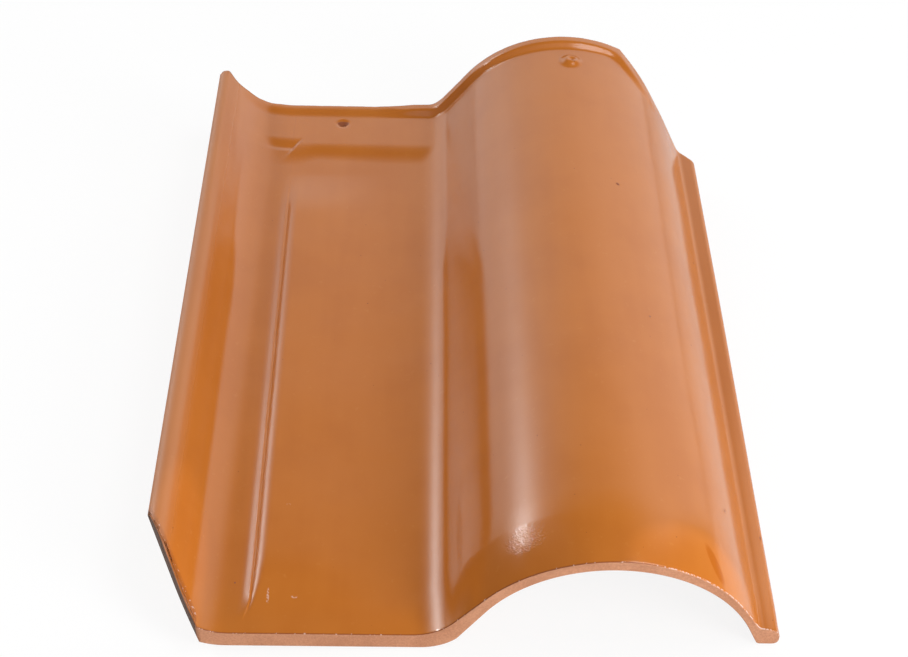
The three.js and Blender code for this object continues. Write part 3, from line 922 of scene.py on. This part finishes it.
    def dress(self, mesh: bpy.types.Mesh, lying: np.ndarray, bare: np.ndarray,
              edge: np.ndarray) -> bpy.types.Object:
        """Gives the mesh its masks and smooth shading and makes it an object.

        Args:
            mesh: the tile's mesh.
            lying: its points in the lying frame, in mm.
            bare: 1 where the clay carries no glaze.
            edge: distance from the nearer end face, in mm.

        Returns:
            The tile's object.
        """
        across, along = self.corner_reach
        on_cut = (lying[:, 0] < across) & (lying[:, 1] < along)
        masks = {
            "bare": bare,
            "edge": edge * MM,
            "nose_cut": on_cut & (edge < self.dark_cut_reach),
            "corner": on_cut,
            "across": lying[:, 0] * MM,
            "along": lying[:, 1] * MM,
        }
        for name, values in masks.items():
            layer = mesh.attributes.new(name, "FLOAT", "POINT")
            layer.data.foreach_set("value", np.ascontiguousarray(values, dtype=np.float32))
        mesh.polygons.foreach_set("use_smooth", np.ones(len(mesh.polygons), dtype=bool))
        mesh.update()
        mesh.validate()
        return add_object("glazed_tile", mesh)


@dataclass
class RestPose:
    """How the tile lies at rest: leaned a little across and along, its box standing in the frame's."""

    turn: np.ndarray
    shift: np.ndarray

    @classmethod
    def of(cls, tile: RoofTile) -> "RestPose":
        """Works out the rest pose: the inner nib, the pan's foot and the toe all touch the floor.

        Args:
            tile: the tile.

        Returns:
            The turn that levels those three points, and the shift that sets the toe, the nose and the
            foot against the frame's box.
        """
        s, nibs = tile.section, tile.nibs
        nib = Vector((max(nibs.centres) + nibs.width / 2.0, nibs.face_y + nibs.tip_depth,
                      -s.pan_thickness - nibs.drop))
        nib_front = nib - Vector((0.0, nibs.tip_depth, 0.0))
        foot = Vector((s.foot_x, 0.0, -s.pan_thickness))
        toe = Vector((s.width - s.toe_bottom_radius, 0.0, s.toe_bottom))
        normal = (toe - foot).cross(nib - foot).normalized()
        turn = np.array(normal.rotation_difference(Vector((0.0, 0.0, 1.0))).to_matrix())
        loop, _ = tile.loop()
        ends = [np.column_stack([loop[:, 0], end, loop[:, 1]]) for end in tile.ends_at(loop[:, 0])]
        outline = np.concatenate(ends) @ turn.T
        low, high = (np.array(corner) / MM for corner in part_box(NODE))
        lowest = min((turn @ np.array(point))[2] for point in (foot, toe, nib, nib_front))
        shift = np.array([high[0] - outline[:, 0].max(), low[1] - outline[:, 1].min(), low[2] - lowest])
        return cls(turn, shift)

    def place(self, points: np.ndarray) -> np.ndarray:
        """Returns points of the lying frame, in mm, as points of the frame, in metres."""
        return (points @ self.turn.T + self.shift) * MM


# ---- Node trees ----------------------------------------------------------------------------------


def math_operator(operation: str, reflected: bool = False) -> Callable[["Signal", Any], "Signal"]:
    """Makes the method behind one of Python's operators on signals.

    Args:
        operation: the Math node's operation.
        reflected: whether the signal stands on the operator's right.

    Returns:
        A method that adds the Math node and returns its result.
    """
    def method(self: "Signal", other: Any) -> "Signal":
        """Returns the operation's result on the two values, in their written order."""
        return self.math(operation, other, self) if reflected else self.math(operation, self, other)
    return method


class Signal:
    """A number that a socket carries. Python's operators on it add Math nodes."""

    def __init__(self, graph: "Graph", socket: bpy.types.NodeSocket) -> None:
        """Holds a socket of a graph."""
        self.graph = graph
        self.socket = socket

    def math(self, operation: str, *values: Any) -> "Signal":
        """Returns a Math node's result for this operation on the values."""
        node = self.graph.node("ShaderNodeMath", {"operation": operation}, dict(enumerate(values)))
        return Signal(self.graph, node.outputs[0])

    __add__ = math_operator("ADD")
    __radd__ = math_operator("ADD", reflected=True)
    __sub__ = math_operator("SUBTRACT")
    __rsub__ = math_operator("SUBTRACT", reflected=True)
    __mul__ = math_operator("MULTIPLY")
    __rmul__ = math_operator("MULTIPLY", reflected=True)
    __truediv__ = math_operator("DIVIDE")
    __rtruediv__ = math_operator("DIVIDE", reflected=True)
    __pow__ = math_operator("POWER")
    __rpow__ = math_operator("POWER", reflected=True)
    largest = math_operator("MAXIMUM")

    def ramp(self, low: float, high: float) -> "Signal":
        """Eases the number between two levels.

        Args:
            low: where the result is 0.
            high: where it is 1. It may be the smaller one.

        Returns:
            The eased share.
        """
        node = self.graph.node("ShaderNodeMapRange", {"interpolation_type": "SMOOTHSTEP"},
                               {"Value": self, "From Min": low, "From Max": high})
        return Signal(self.graph, node.outputs["Result"])


class Graph:
    """A node tree that is built from Python expressions."""

    def __init__(self, owner: bpy.types.Material | bpy.types.World) -> None:
        """Turns on a node tree and empties it.

        Args:
            owner: the material or the world that holds it.
        """
        owner.use_nodes = True
        self.tree = owner.node_tree
        self.tree.nodes.clear()

    def node(self, kind: str, settings: dict[str, Any] | None = None,
             inputs: dict[Any, Any] | None = None) -> bpy.types.Node:
        """Adds a node.

        Args:
            kind: the node's type.
            settings: its properties, which are set first.
            inputs: values, sockets or signals by socket name or number.

        Returns:
            The node.
        """
        node = self.tree.nodes.new(kind)
        for name, value in (settings or {}).items():
            setattr(node, name, value)
        for name, value in (inputs or {}).items():
            socket = node.inputs[name]
            if isinstance(value, Signal):
                value = value.socket
            if isinstance(value, bpy.types.NodeSocket):
                self.tree.links.new(value, socket)
            elif isinstance(value, tuple) and len(value) == 3 and socket.type == "RGBA":
                socket.default_value = (*value, 1.0)
            else:
                socket.default_value = value
        return node

    def attribute(self, name: str) -> Signal:
        """Returns a mesh attribute's value."""
        node = self.node("ShaderNodeAttribute", {"attribute_name": name})
        return Signal(self, node.outputs["Fac"])

    def mix(self, share: Any, first: Any, second: Any) -> bpy.types.NodeSocket:
        """Mixes two colours.

        Args:
            share: the second one's part, from 0 to 1.
            first, second: the colours.

        Returns:
            The mixed colour.
        """
        node = self.node("ShaderNodeMix", {"data_type": "RGBA"}, {
            "Factor": share, MIX_COLOURS[0]: first, MIX_COLOURS[1]: second})
        return node.outputs[MIX_RESULT]

    def scaled(self, colour: Any, factor: Any) -> bpy.types.NodeSocket:
        """Returns a colour times a number."""
        node = self.node("ShaderNodeVectorMath", {"operation": "SCALE"}, {0: colour, "Scale": factor})
        return node.outputs[0]


@dataclass(frozen=True)
class Spot:
    """The spot on the tile that its shader works on, as nodes of the shader's graph."""

    graph: Graph
    point: bpy.types.NodeSocket     # the object's coordinates
    across: Signal                  # the lying frame's x, in metres
    along: Signal                   # and its y

    @classmethod
    def of(cls, graph: Graph) -> "Spot":
        """Adds the nodes that read where the spot is."""
        point = graph.node("ShaderNodeTexCoord").outputs["Object"]
        return cls(graph, point, graph.attribute("across"), graph.attribute("along"))

    def stretched(self, scale: tuple[float, float, float]) -> "Spot":
        """Returns the spot with its coordinates scaled on each axis."""
        node = self.graph.node("ShaderNodeMapping", None, {"Vector": self.point, "Scale": scale})
        return replace(self, point=node.outputs["Vector"])


# ---- Finishes ------------------------------------------------------------------------------------


@dataclass(frozen=True)
class Mark:
    """A small oval mark in the glaze, in mm of the lying frame."""

    x: float
    y: float
    half_width: float
    half_length: float
    lean: float = 0.0             # degrees that its long side turns from along the tile, clockwise

    def mask(self, spot: Spot) -> Signal:
        """Masks the oval by its squared distance, side^2 + length^2, each in half widths.

        Args:
            spot: the shader's spot.

        Returns:
            1 inside the oval and 0 outside it, with a soft edge.
        """
        dx, dy = spot.across - self.x * MM, spot.along - self.y * MM
        cosine, sine = math.cos(math.radians(self.lean)), math.sin(math.radians(self.lean))
        side = (dx * cosine - dy * sine) / (self.half_width * MM)
        length = (dx * sine + dy * cosine) / (self.half_length * MM)
        return (side * side + length * length).ramp(*MARK_EDGE)


@dataclass(frozen=True)
class Grain:
    """Soft noise whose features have one size, and the two levels between which it is cut to a share."""

    size: float                   # mm
    detail: float = 2.0
    roughness: float = 0.5
    low: float = 0.0
    high: float = 1.0

    def level(self, spot: Spot) -> Signal:
        """Adds the noise.

        Args:
            spot: the shader's spot.

        Returns:
            The noise, between 0 and 1 and mostly near 0.5.
        """
        node = spot.graph.node("ShaderNodeTexNoise", {"noise_dimensions": "3D"}, {
            "Vector": spot.point, "Scale": 1.0 / (self.size * MM), "Detail": self.detail,
            "Roughness": self.roughness})
        return Signal(spot.graph, node.outputs["Fac"])

    def offset(self, spot: Spot) -> Signal:
        """Returns the noise less its middle, so that it goes both ways from 0."""
        return self.level(spot) - 0.5

    def share(self, spot: Spot) -> Signal:
        """Returns 0 where the noise is below low and 1 where it is above high, eased between them."""
        return self.level(spot).ramp(self.low, self.high)


@dataclass(frozen=True)
class Band:
    """A stretch of a length, in mm, over which something fades in from 0 to 1."""

    low: float
    high: float

    def share(self, value: Signal) -> Signal:
        """Returns 0 at low and 1 at high, eased between them, of a length in metres."""
        return value.ramp(self.low * MM, self.high * MM)


@dataclass(frozen=True)
class GlazedClay:
    """Honey glaze over terracotta: clear and deep on the upper face, worn at its edges and painted there
    with shade and highlight, bare elsewhere.
    """

    # The glaze's colour
    honey: Colour = (0.505, 0.156, 0.022)
    deep: Colour = (0.47, 0.139, 0.018)
    clouds: Grain = Grain(55.0, 3.0, 0.55)
    streaks: Grain = Grain(12.0)
    streak_scale: tuple[float, float, float] = (1.0, 0.12, 1.0)
    cloud_share: float = 0.7      # the clouds' part of the glaze's depth, beside the streaks'
    depth: tuple[float, float] = (0.38, 0.66)
    pale: Colour = (0.55, 0.205, 0.045)
    thin: Grain = Grain(3.5, 3.0, 0.6, 0.62, 0.80)
    thin_share: float = 0.35
    painted_light_marks: tuple[Mark, ...] = (      # painted light: the glaze made brighter on the lip's slope and the nose's right side, where more light falls
        Mark(14.0, 24.0, 15.0, 62.0),
        Mark(256.0, 4.0, 32.0, 22.0),
    )
    brightness: float = 0.17
    run: Colour = (0.50, 0.125, 0.006)
    run_share: float = 0.9
    runs: tuple[Mark, ...] = (
        Mark(266.0, 11.5, 2.4, 9.5, 157.6),
    )
    # dark specks and pinholes, and the painted shade in the nail point's dimple
    speck_and_shade: Colour = (0.19, 0.04, 0.012)
    speck_and_shade_share: float = 0.8
    specks_and_nail_shade: tuple[Mark, ...] = (
        Mark(241.1, 278.1, 0.9, 1.3, -30.0),
        Mark(249.6, 168.9, 0.5, 0.7),
        Mark(42.2, 29.7, 0.5, 0.6),
        Mark(276.8, 52.6, 0.5, 0.9),
        Mark(298.2, 56.5, 0.5, 1.1),
        # painted shade: the nail point's dimple darkened in the glaze's colour
        Mark(79.2, 402.8, 3.8, 2.6),
    )
    pinholes: Grain = Grain(1.6, 0.0, 0.5, 0.895, 0.91)
    pinhole_share: float = 0.7
    # pale clay of the chips, and the colour of the painted glints and highlights
    chip_and_glint: Colour = (0.78, 0.58, 0.50)
    # painted glints: small pale highlights in the glaze, broken up by noise
    painted_glints: tuple[Mark, ...] = (
        Mark(58.6, 20.6, 0.6, 4.6),
        Mark(71.3, 20.8, 1.6, 0.9),
        Mark(65.0, 77.0, 1.0, 0.7),
    )
    glint_grain: Grain = Grain(1.3, 1.0, 0.5, 0.42, 0.56)
    glint_share: float = 0.5

    # Its wear, with painted shade along the ends and painted highlight in the chips
    # painted shade along the end faces' arrises
    painted_edge_shade: Colour = (0.19, 0.045, 0.018)
    edge_shade_share: float = 0.70
    edge_shade_loss: float = 0.30                      # how much less of it there is on the nose's cut
    rim_band: Band = Band(0.9, 0.2)             # of the distance from the end face
    corner_band: Band = Band(4.0, 1.4)          # the same on the nose's cut
    corner_cut: tuple[float, float] = (0.3, 0.7)        # between these its mask goes from 0 to 1
    right_side: Band = Band(222.0, 250.0)       # across the tile: more chips and painted highlight there, and no painted edge shade
    flakes: Grain = Grain(1.4, 1.5)
    right_flakes: float = 0.15
    corner_flakes: float = -0.02
    flake_cut: tuple[float, float] = (0.63, 0.69)
    chip_and_glint_reach: float = 0.8
    chip_and_glint_share: float = 0.7225
    chip_and_glint_loss: float = 0.2125                   # how much less on the nose's cut
    matt: Colour = (0.50, 0.24, 0.13)
    matt_share: float = 0.30
    tip_band: Band = Band(15.0, 9.0)            # across the lip's worn tip
    ragged: Grain = Grain(1.2)
    raggedness: float = 0.5
    bare_cut: tuple[float, float] = (0.42, 0.58)

    # The bare clay's colour
    clay: Colour = (0.62, 0.29, 0.16)
    clay_dark: Colour = (0.50, 0.215, 0.11)
    clay_depth: tuple[float, float] = (0.36, 0.64)
    clay_grain: Grain = Grain(1.1, 3.0, 0.7)
    clay_patch: Grain = Grain(18.0)
    grain_share: float = 0.6
    # near black on the nose's cut corner
    dark_cut: Colour = (0.085, 0.062, 0.052)
    dark_cut_share: float = 0.75
    dark_cut_ramp: tuple[float, float] = (0.2, 0.8)         # between these its mask goes from 0 to 1

    # Roughness
    glaze_roughness: float = 0.16
    mottle: Grain = Grain(20.0, 3.0)
    mottling: float = 0.10
    lip_roughness: float = 0.30     # more than the glaze's, on the lip's worn tip
    speck_roughness: float = 0.55   # more than the glaze's
    sparkle_gloss: float = 0.09     # less than the glaze's
    clay_roughness: float = 0.85
    ior: float = 1.5

    # Fine relief, its heights in mm
    peel: Grain = Grain(0.9, 1.0)
    peel_height: float = 0.020
    ripple: Grain = Grain(6.0, 1.0)
    ripple_height: float = 0.030
    sparkle: Mark = Mark(179.3, 20.6, 10.0, 7.8)
    sparkle_height: float = 0.125
    beads: Mark = Mark(149.6, 48.0, 1.5, 24.0)
    bead_height: float = 0.20
    pores: Grain = Grain(0.9, 3.0, 0.7)
    pore_height: float = 0.22
    droop: float = 2.6            # how far the glaze's skin falls over the roll's last stretch
    droop_reach: float = 29.0
    droop_power: float = 1.3
    droop_left: Band = Band(143.0, 156.0)
    droop_right: Band = Band(210.0, 180.0)

    def material(self) -> bpy.types.Material:
        """Builds the tile's material.

        Returns:
            The material: glaze and clay mixed by the bare mask, with specks, wear, painted light, shade and
                glints, and fine relief.
        """
        material = bpy.data.materials.new("honey_glaze_on_clay")
        g = Graph(material)
        spot = Spot.of(g)
        bare = (g.attribute("bare") + self.ragged.offset(spot) * self.raggedness).ramp(*self.bare_cut)
        tip = self.tip_band.share(spot.across)
        colour = g.mix(bare, self.worn(spot, self.glaze_colour(spot)), self.clay_colour(spot))
        colour = g.mix(tip * (1.0 - bare) * self.matt_share, colour, self.matt)
        roughness = (self.glaze_roughness + self.mottle.offset(spot) * self.mottling
                     + tip * self.lip_roughness + self.marked(self.specks_and_nail_shade, spot) * self.speck_roughness
                     - self.sparkle.mask(spot) * self.sparkle_gloss)
        shader = g.node("ShaderNodeBsdfPrincipled", None, {
            "Base Color": colour, "IOR": self.ior,
            "Roughness": roughness * (1.0 - bare) + self.clay_roughness * bare,
            "Normal": self.relief(spot, bare)})
        g.node("ShaderNodeOutputMaterial", None, {"Surface": shader.outputs[0]})
        return material

    def marked(self, marks: tuple[Mark, ...], spot: Spot) -> Signal:
        """Returns 1 inside any of the marks."""
        return reduce(Signal.largest, (mark.mask(spot) for mark in marks))

    def glaze_colour(self, spot: Spot) -> bpy.types.NodeSocket:
        """Mixes the glaze: honey, deeper in clouds and streaks, with its thin places, specks, painted light,
        painted shade at the nail point and painted glints.

        Args:
            spot: the shader's spot.

        Returns:
            Its colour.
        """
        g = spot.graph
        streaks = self.streaks.level(spot.stretched(self.streak_scale))
        depth = self.clouds.level(spot) * self.cloud_share + streaks * (1.0 - self.cloud_share)
        colour = g.mix(depth.ramp(*self.depth), self.honey, self.deep)
        colour = g.mix(self.thin.share(spot) * self.thin_share, colour, self.pale)
        # painted light: brighter glaze on the lip's slope and the nose's right side
        colour = g.scaled(colour, 1.0 + self.marked(self.painted_light_marks, spot) * self.brightness)
        colour = g.mix(self.marked(self.runs, spot) * self.run_share, colour, self.run)
        colour = g.mix(self.pinholes.share(spot) * self.pinhole_share, colour, self.speck_and_shade)
        # dark specks, and painted shade in the nail point's dimple
        colour = g.mix(self.marked(self.specks_and_nail_shade, spot) * self.speck_and_shade_share, colour, self.speck_and_shade)
        # painted glints: small pale highlights
        painted_glints = self.marked(self.painted_glints, spot) * self.glint_grain.share(spot)
        return g.mix(painted_glints * self.glint_share, colour, self.chip_and_glint)

    def worn(self, spot: Spot, glaze: Any) -> bpy.types.NodeSocket:
        """Wears the glaze: painted shade as a dark line along its ends, and pale chips, most of them on the
        right, which also paint the broken highlight along the arris.

        Args:
            spot: the shader's spot.
            glaze: the whole glaze's colour.

        Returns:
            The worn glaze's colour.
        """
        g = spot.graph
        edge, corner = g.attribute("edge"), g.attribute("corner").ramp(*self.corner_cut)
        right = self.right_side.share(spot.across)
        near = self.rim_band.share(edge) + corner * self.corner_band.share(edge)
        # painted shade: a dark line along the end faces' arrises
        painted_edge_shade = near.ramp(0.0, 1.0) * (1.0 - right) * (self.edge_shade_share - self.edge_shade_loss * corner)
        colour = g.mix(painted_edge_shade, glaze, self.painted_edge_shade)
        flakes = self.flakes.level(spot) + right * self.right_flakes + corner * self.corner_flakes
        # pale chips, partly painted highlight along the arris
        chips_and_glints = near.ramp(0.0, self.chip_and_glint_reach) * flakes.ramp(*self.flake_cut)
        return g.mix(chips_and_glints * (self.chip_and_glint_share - self.chip_and_glint_loss * corner), colour, self.chip_and_glint)

    def clay_colour(self, spot: Spot) -> bpy.types.NodeSocket:
        """Mixes the fired clay: a grainy terracotta, near black on the nose's cut corner.

        Args:
            spot: the shader's spot.

        Returns:
            Its colour.
        """
        g = spot.graph
        grain = self.clay_grain.level(spot)
        depth = grain * self.grain_share + self.clay_patch.level(spot) * (1.0 - self.grain_share)
        colour = g.mix(depth.ramp(*self.clay_depth), self.clay_dark, self.clay)
        dark_cut = g.attribute("nose_cut").ramp(*self.dark_cut_ramp)
        return g.mix(dark_cut * (self.dark_cut_share + (1.0 - self.dark_cut_share) * grain), colour, self.dark_cut)

    def relief(self, spot: Spot, bare: Signal) -> bpy.types.NodeSocket:
        """Adds up the fine relief: the glaze's peel, its grainy patches and the clay's coarser pores.

        Over the roll's last stretch the glaze also falls by droop (1 - y / reach)^power.

        Args:
            spot: the shader's spot.
            bare: 1 where the clay shows.

        Returns:
            The surface's normal.
        """
        grainy = (self.peel_height + self.sparkle.mask(spot) * self.sparkle_height
                  + self.beads.mask(spot) * self.bead_height)
        peel = self.peel.offset(spot) * grainy + self.ripple.offset(spot) * self.ripple_height
        near = (1.0 - spot.along / (self.droop_reach * MM)).largest(0.0) ** self.droop_power
        fall = near * self.droop_left.share(spot.across) * self.droop_right.share(spot.across) * self.droop
        height = (peel - fall) * (1.0 - bare) + self.pores.offset(spot) * self.pore_height * bare
        bump = spot.graph.node("ShaderNodeBump", None, {
            "Strength": 1.0, "Distance": MM, "Height": height})
        return bump.outputs["Normal"]


@dataclass(frozen=True)
class PaleFloor:
    """A matt pale floor, which the camera sees near white with the tile's shadow on it."""

    colour: Colour = (0.90, 0.90, 0.90)
    roughness: float = 0.9
    white: Colour = (1.0, 1.0, 1.0)
    brightness: float = 1.02
    seen_light: float = 0.86      # how much of what the camera sees is that white

    def material(self) -> bpy.types.Material:
        """Builds the floor's material: matt, with some of its white given to camera rays only.

        Returns:
            The material.
        """
        material = bpy.data.materials.new("pale_floor")
        g = Graph(material)
        matt = g.node("ShaderNodeBsdfPrincipled", None, {
            "Base Color": self.colour, "Roughness": self.roughness})
        seen = g.node("ShaderNodeEmission", None, {"Color": self.white, "Strength": self.brightness})
        path = g.node("ShaderNodeLightPath")
        share = Signal(g, path.outputs["Is Camera Ray"]) * self.seen_light
        both = g.node("ShaderNodeMixShader", None, {0: share, 1: matt.outputs[0], 2: seen.outputs[0]})
        g.node("ShaderNodeOutputMaterial", None, {"Surface": both.outputs[0]})
        return material


# ---- The studio ----------------------------------------------------------------------------------


@dataclass
class Lamp:
    """A soft rectangular lamp that looks at the tile."""

    name: str
    turn: float                   # compass turn from straight behind the tile, clockwise, in degrees
    height: float                 # degrees above the floor
    distance: float
    size: tuple[float, float]
    power: float

    def build(self) -> bpy.types.Object:
        """Makes the lamp and turns it towards the tile.

        Returns:
            The lamp's object.
        """
        data = bpy.data.lights.new(self.name, "AREA")
        data.shape = "RECTANGLE"
        data.size, data.size_y = self.size
        data.energy = self.power
        lamp = add_object(self.name, data)
        toward = (Matrix.Rotation(-math.radians(self.turn), 4, "Z")
                  @ Matrix.Rotation(math.radians(self.height), 4, "X"))
        facing = Matrix.Rotation(-math.pi / 2.0, 4, "X")
        lamp.matrix_world = toward @ Matrix.Translation((0.0, self.distance, 0.0)) @ facing
        lamp.visible_camera = False
        log.info("%s: %.1f W, %.0f degrees round and %.0f up", self.name, self.power, self.turn, self.height)
        return lamp


@dataclass
class Glow:
    """A large soft light in the surroundings, which fades from its middle like a bell curve."""

    turn: float = -53.0           # compass turn from straight behind the tile, clockwise, in degrees
    height: float = 29.0          # degrees above the floor
    half_turn: float = 12.5
    half_height: float = 10.0
    level: float = 6.6
    side: tuple[float, float] = (-70.0, -60.0)      # turns where its far side ends and starts to fade

    def light(self, turn: Signal, height: Signal) -> Signal:
        """Works out the glow: level e^(-d^2), d the distance from its middle in half widths.

        Args:
            turn: the direction's compass turn, in radians.
            height: its height above the floor, in radians.

        Returns:
            The light from that direction.
        """
        across = (turn - math.radians(self.turn)) / math.radians(self.half_turn)
        up = (height - math.radians(self.height)) / math.radians(self.half_height)
        away = across * across + up * up
        side = turn.ramp(*(math.radians(angle) for angle in self.side))
        return math.e ** (away * -1.0) * side * self.level


@dataclass
class Backdrop:
    """The light of the surroundings: a white sweep behind the tile, a soft glow on its left and a dim
    room in front of it."""

    white: float = 1.2
    half_width: float = 54.0      # degrees to each side of the tile's head
    softness: float = 6.0
    top: tuple[float, float] = (58.5, 33.0)      # degrees above the floor where it is gone and full
    room: float = 0.90
    room_front: tuple[float, float] = (-0.05, -0.40)     # how far in front the room starts and is full
    room_left: float = 0.22       # what is left of the room's light on the tile's left
    room_side: tuple[float, float] = (-0.6, 0.35)
    dark: float = 0.09
    glow: Glow = field(default_factory=Glow)

    def build(self) -> bpy.types.World:
        """Makes the world: that light on the tile, and plain white to the camera.

        Returns:
            The world.
        """
        world = bpy.data.worlds.new("studio")
        g = Graph(world)
        direction = g.node("ShaderNodeTexCoord").outputs["Generated"]
        parts = g.node("ShaderNodeSeparateXYZ", None, {0: direction})
        x, y, z = (Signal(g, parts.outputs[axis]) for axis in "XYZ")
        turn, height = x.math("ARCTAN2", x, y), z.math("ARCSINE", z)
        beside = turn.math("ABSOLUTE", turn).ramp(math.radians(self.half_width + self.softness),
                                                  math.radians(self.half_width - self.softness))
        below = height.ramp(*(math.radians(angle) for angle in self.top))
        room = y.ramp(*self.room_front) * (
            self.room_left + (1.0 - self.room_left) * x.ramp(*self.room_side))
        light = (beside * below * self.white + room * self.room + self.dark
                 + self.glow.light(turn, height))
        seen = Signal(g, g.node("ShaderNodeLightPath").outputs["Is Camera Ray"])
        sky = g.node("ShaderNodeBackground", None, {
            "Color": (1.0, 1.0, 1.0), "Strength": light * (1.0 - seen) + seen})
        g.node("ShaderNodeOutputWorld", None, {"Surface": sky.outputs[0]})
        return world


@dataclass
class Studio:
    """The floor, the surroundings and the lamps."""

    floor_size: float = 6.0
    floor: PaleFloor = field(default_factory=PaleFloor)
    backdrop: Backdrop = field(default_factory=Backdrop)
    lamps: tuple[Lamp, ...] = (
        Lamp("key_lamp", turn=130.0, height=22.0, distance=1.35, size=(0.6, 0.6), power=9.5),
        Lamp("top_lamp", turn=100.0, height=62.0, distance=1.6, size=(0.6, 0.6), power=5.9),
        Lamp("glint_lamp", turn=-71.0, height=35.7, distance=1.25, size=(0.09, 0.09), power=1.5),
    )

    def build_floor(self) -> bpy.types.Object:
        """Makes the floor as one flat sheet with its face up.

        Returns:
            The floor's object.
        """
        half = self.floor_size / 2.0
        corners = np.array([[-half, -half, 0.0], [half, -half, 0.0], [half, half, 0.0], [-half, half, 0.0]])
        mesh = bpy.data.meshes.new("floor")
        mesh.from_pydata(corners, [], [(0, 1, 2, 3)])
        mesh.materials.append(self.floor.material())
        return add_object("floor", mesh)

    def build(self) -> bpy.types.Object:
        """Builds the surroundings, the lamps and the floor.

        Returns:
            The floor's object.
        """
        bpy.context.scene.world = self.backdrop.build()
        for lamp in self.lamps:
            lamp.build()
        bpy.context.scene.view_settings.view_transform = "Standard"
        return self.build_floor()


@dataclass
class View:
    """The camera, placed in the tile's lying frame: in front of the nose, looking down on the pan."""

    place: tuple[float, float, float] = (125.43, -483.88, 640.83)
    pitch: float = 42.6223        # degrees below level
    turn: float = -1.9196         # degrees round from straight along the tile
    roll: float = -2.1326         # degrees
    lens: float = 66.95
    sensor: float = 36.0
    clip_end: float = 50.0

    def build(self, rest: RestPose) -> bpy.types.Object:
        """Makes the camera and sets it as the scene's.

        Args:
            rest: the tile's rest pose, which carries the camera with the lying frame.

        Returns:
            The camera's object.
        """
        data = bpy.data.cameras.new("view")
        data.lens = self.lens
        data.sensor_width = self.sensor
        data.clip_end = self.clip_end
        camera = add_object("view", data)
        right, down, forward = self.axes() @ rest.turn.T
        matrix = np.eye(4)
        matrix[:3] = np.column_stack([right, -down, -forward, rest.place(np.array(self.place))])
        camera.matrix_world = Matrix(matrix.tolist())
        bpy.context.scene.camera = camera
        return camera

    def axes(self) -> np.ndarray:
        """Turns the level camera by its pitch, its turn and its roll.

        Returns:
            The camera's right, down and forward in the lying frame, one in each row.
        """
        (cp, sp), (ct, st), (cr, sr) = ((math.cos(angle), math.sin(angle)) for angle in (
            math.radians(self.pitch), math.radians(self.turn), math.radians(self.roll)))
        level = np.array([[1.0, 0.0, 0.0], [0.0, 0.0, -1.0], [0.0, 1.0, 0.0]])
        pitch = np.array([[1.0, 0.0, 0.0], [0.0, cp, -sp], [0.0, sp, cp]])
        turn = np.array([[ct, st, 0.0], [-st, ct, 0.0], [0.0, 0.0, 1.0]])
        roll = np.array([[cr, sr, 0.0], [-sr, cr, 0.0], [0.0, 0.0, 1.0]])
        return roll @ pitch @ level @ turn


def main() -> None:
    """Builds the tile, the studio and the camera."""
    logging.basicConfig(level=logging.INFO, format="%(name)s: %(message)s")
    tile = RoofTile()
    camera = View().build(RestPose.of(tile))
    log.info("%s: %.1f mm lens", camera.name, camera.data.lens)
    piece = tile.build()
    piece.data.materials.append(GlazedClay().material())
    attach(piece, "root")
    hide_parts(NODE)
    log.info("%s: %d points, %d faces, in place of %s", piece.name, len(piece.data.vertices),
             len(piece.data.polygons), NODE)
    floor = Studio().build()
    log.info("%s: stage", floor.name)


if __name__ == "__main__":
    main()
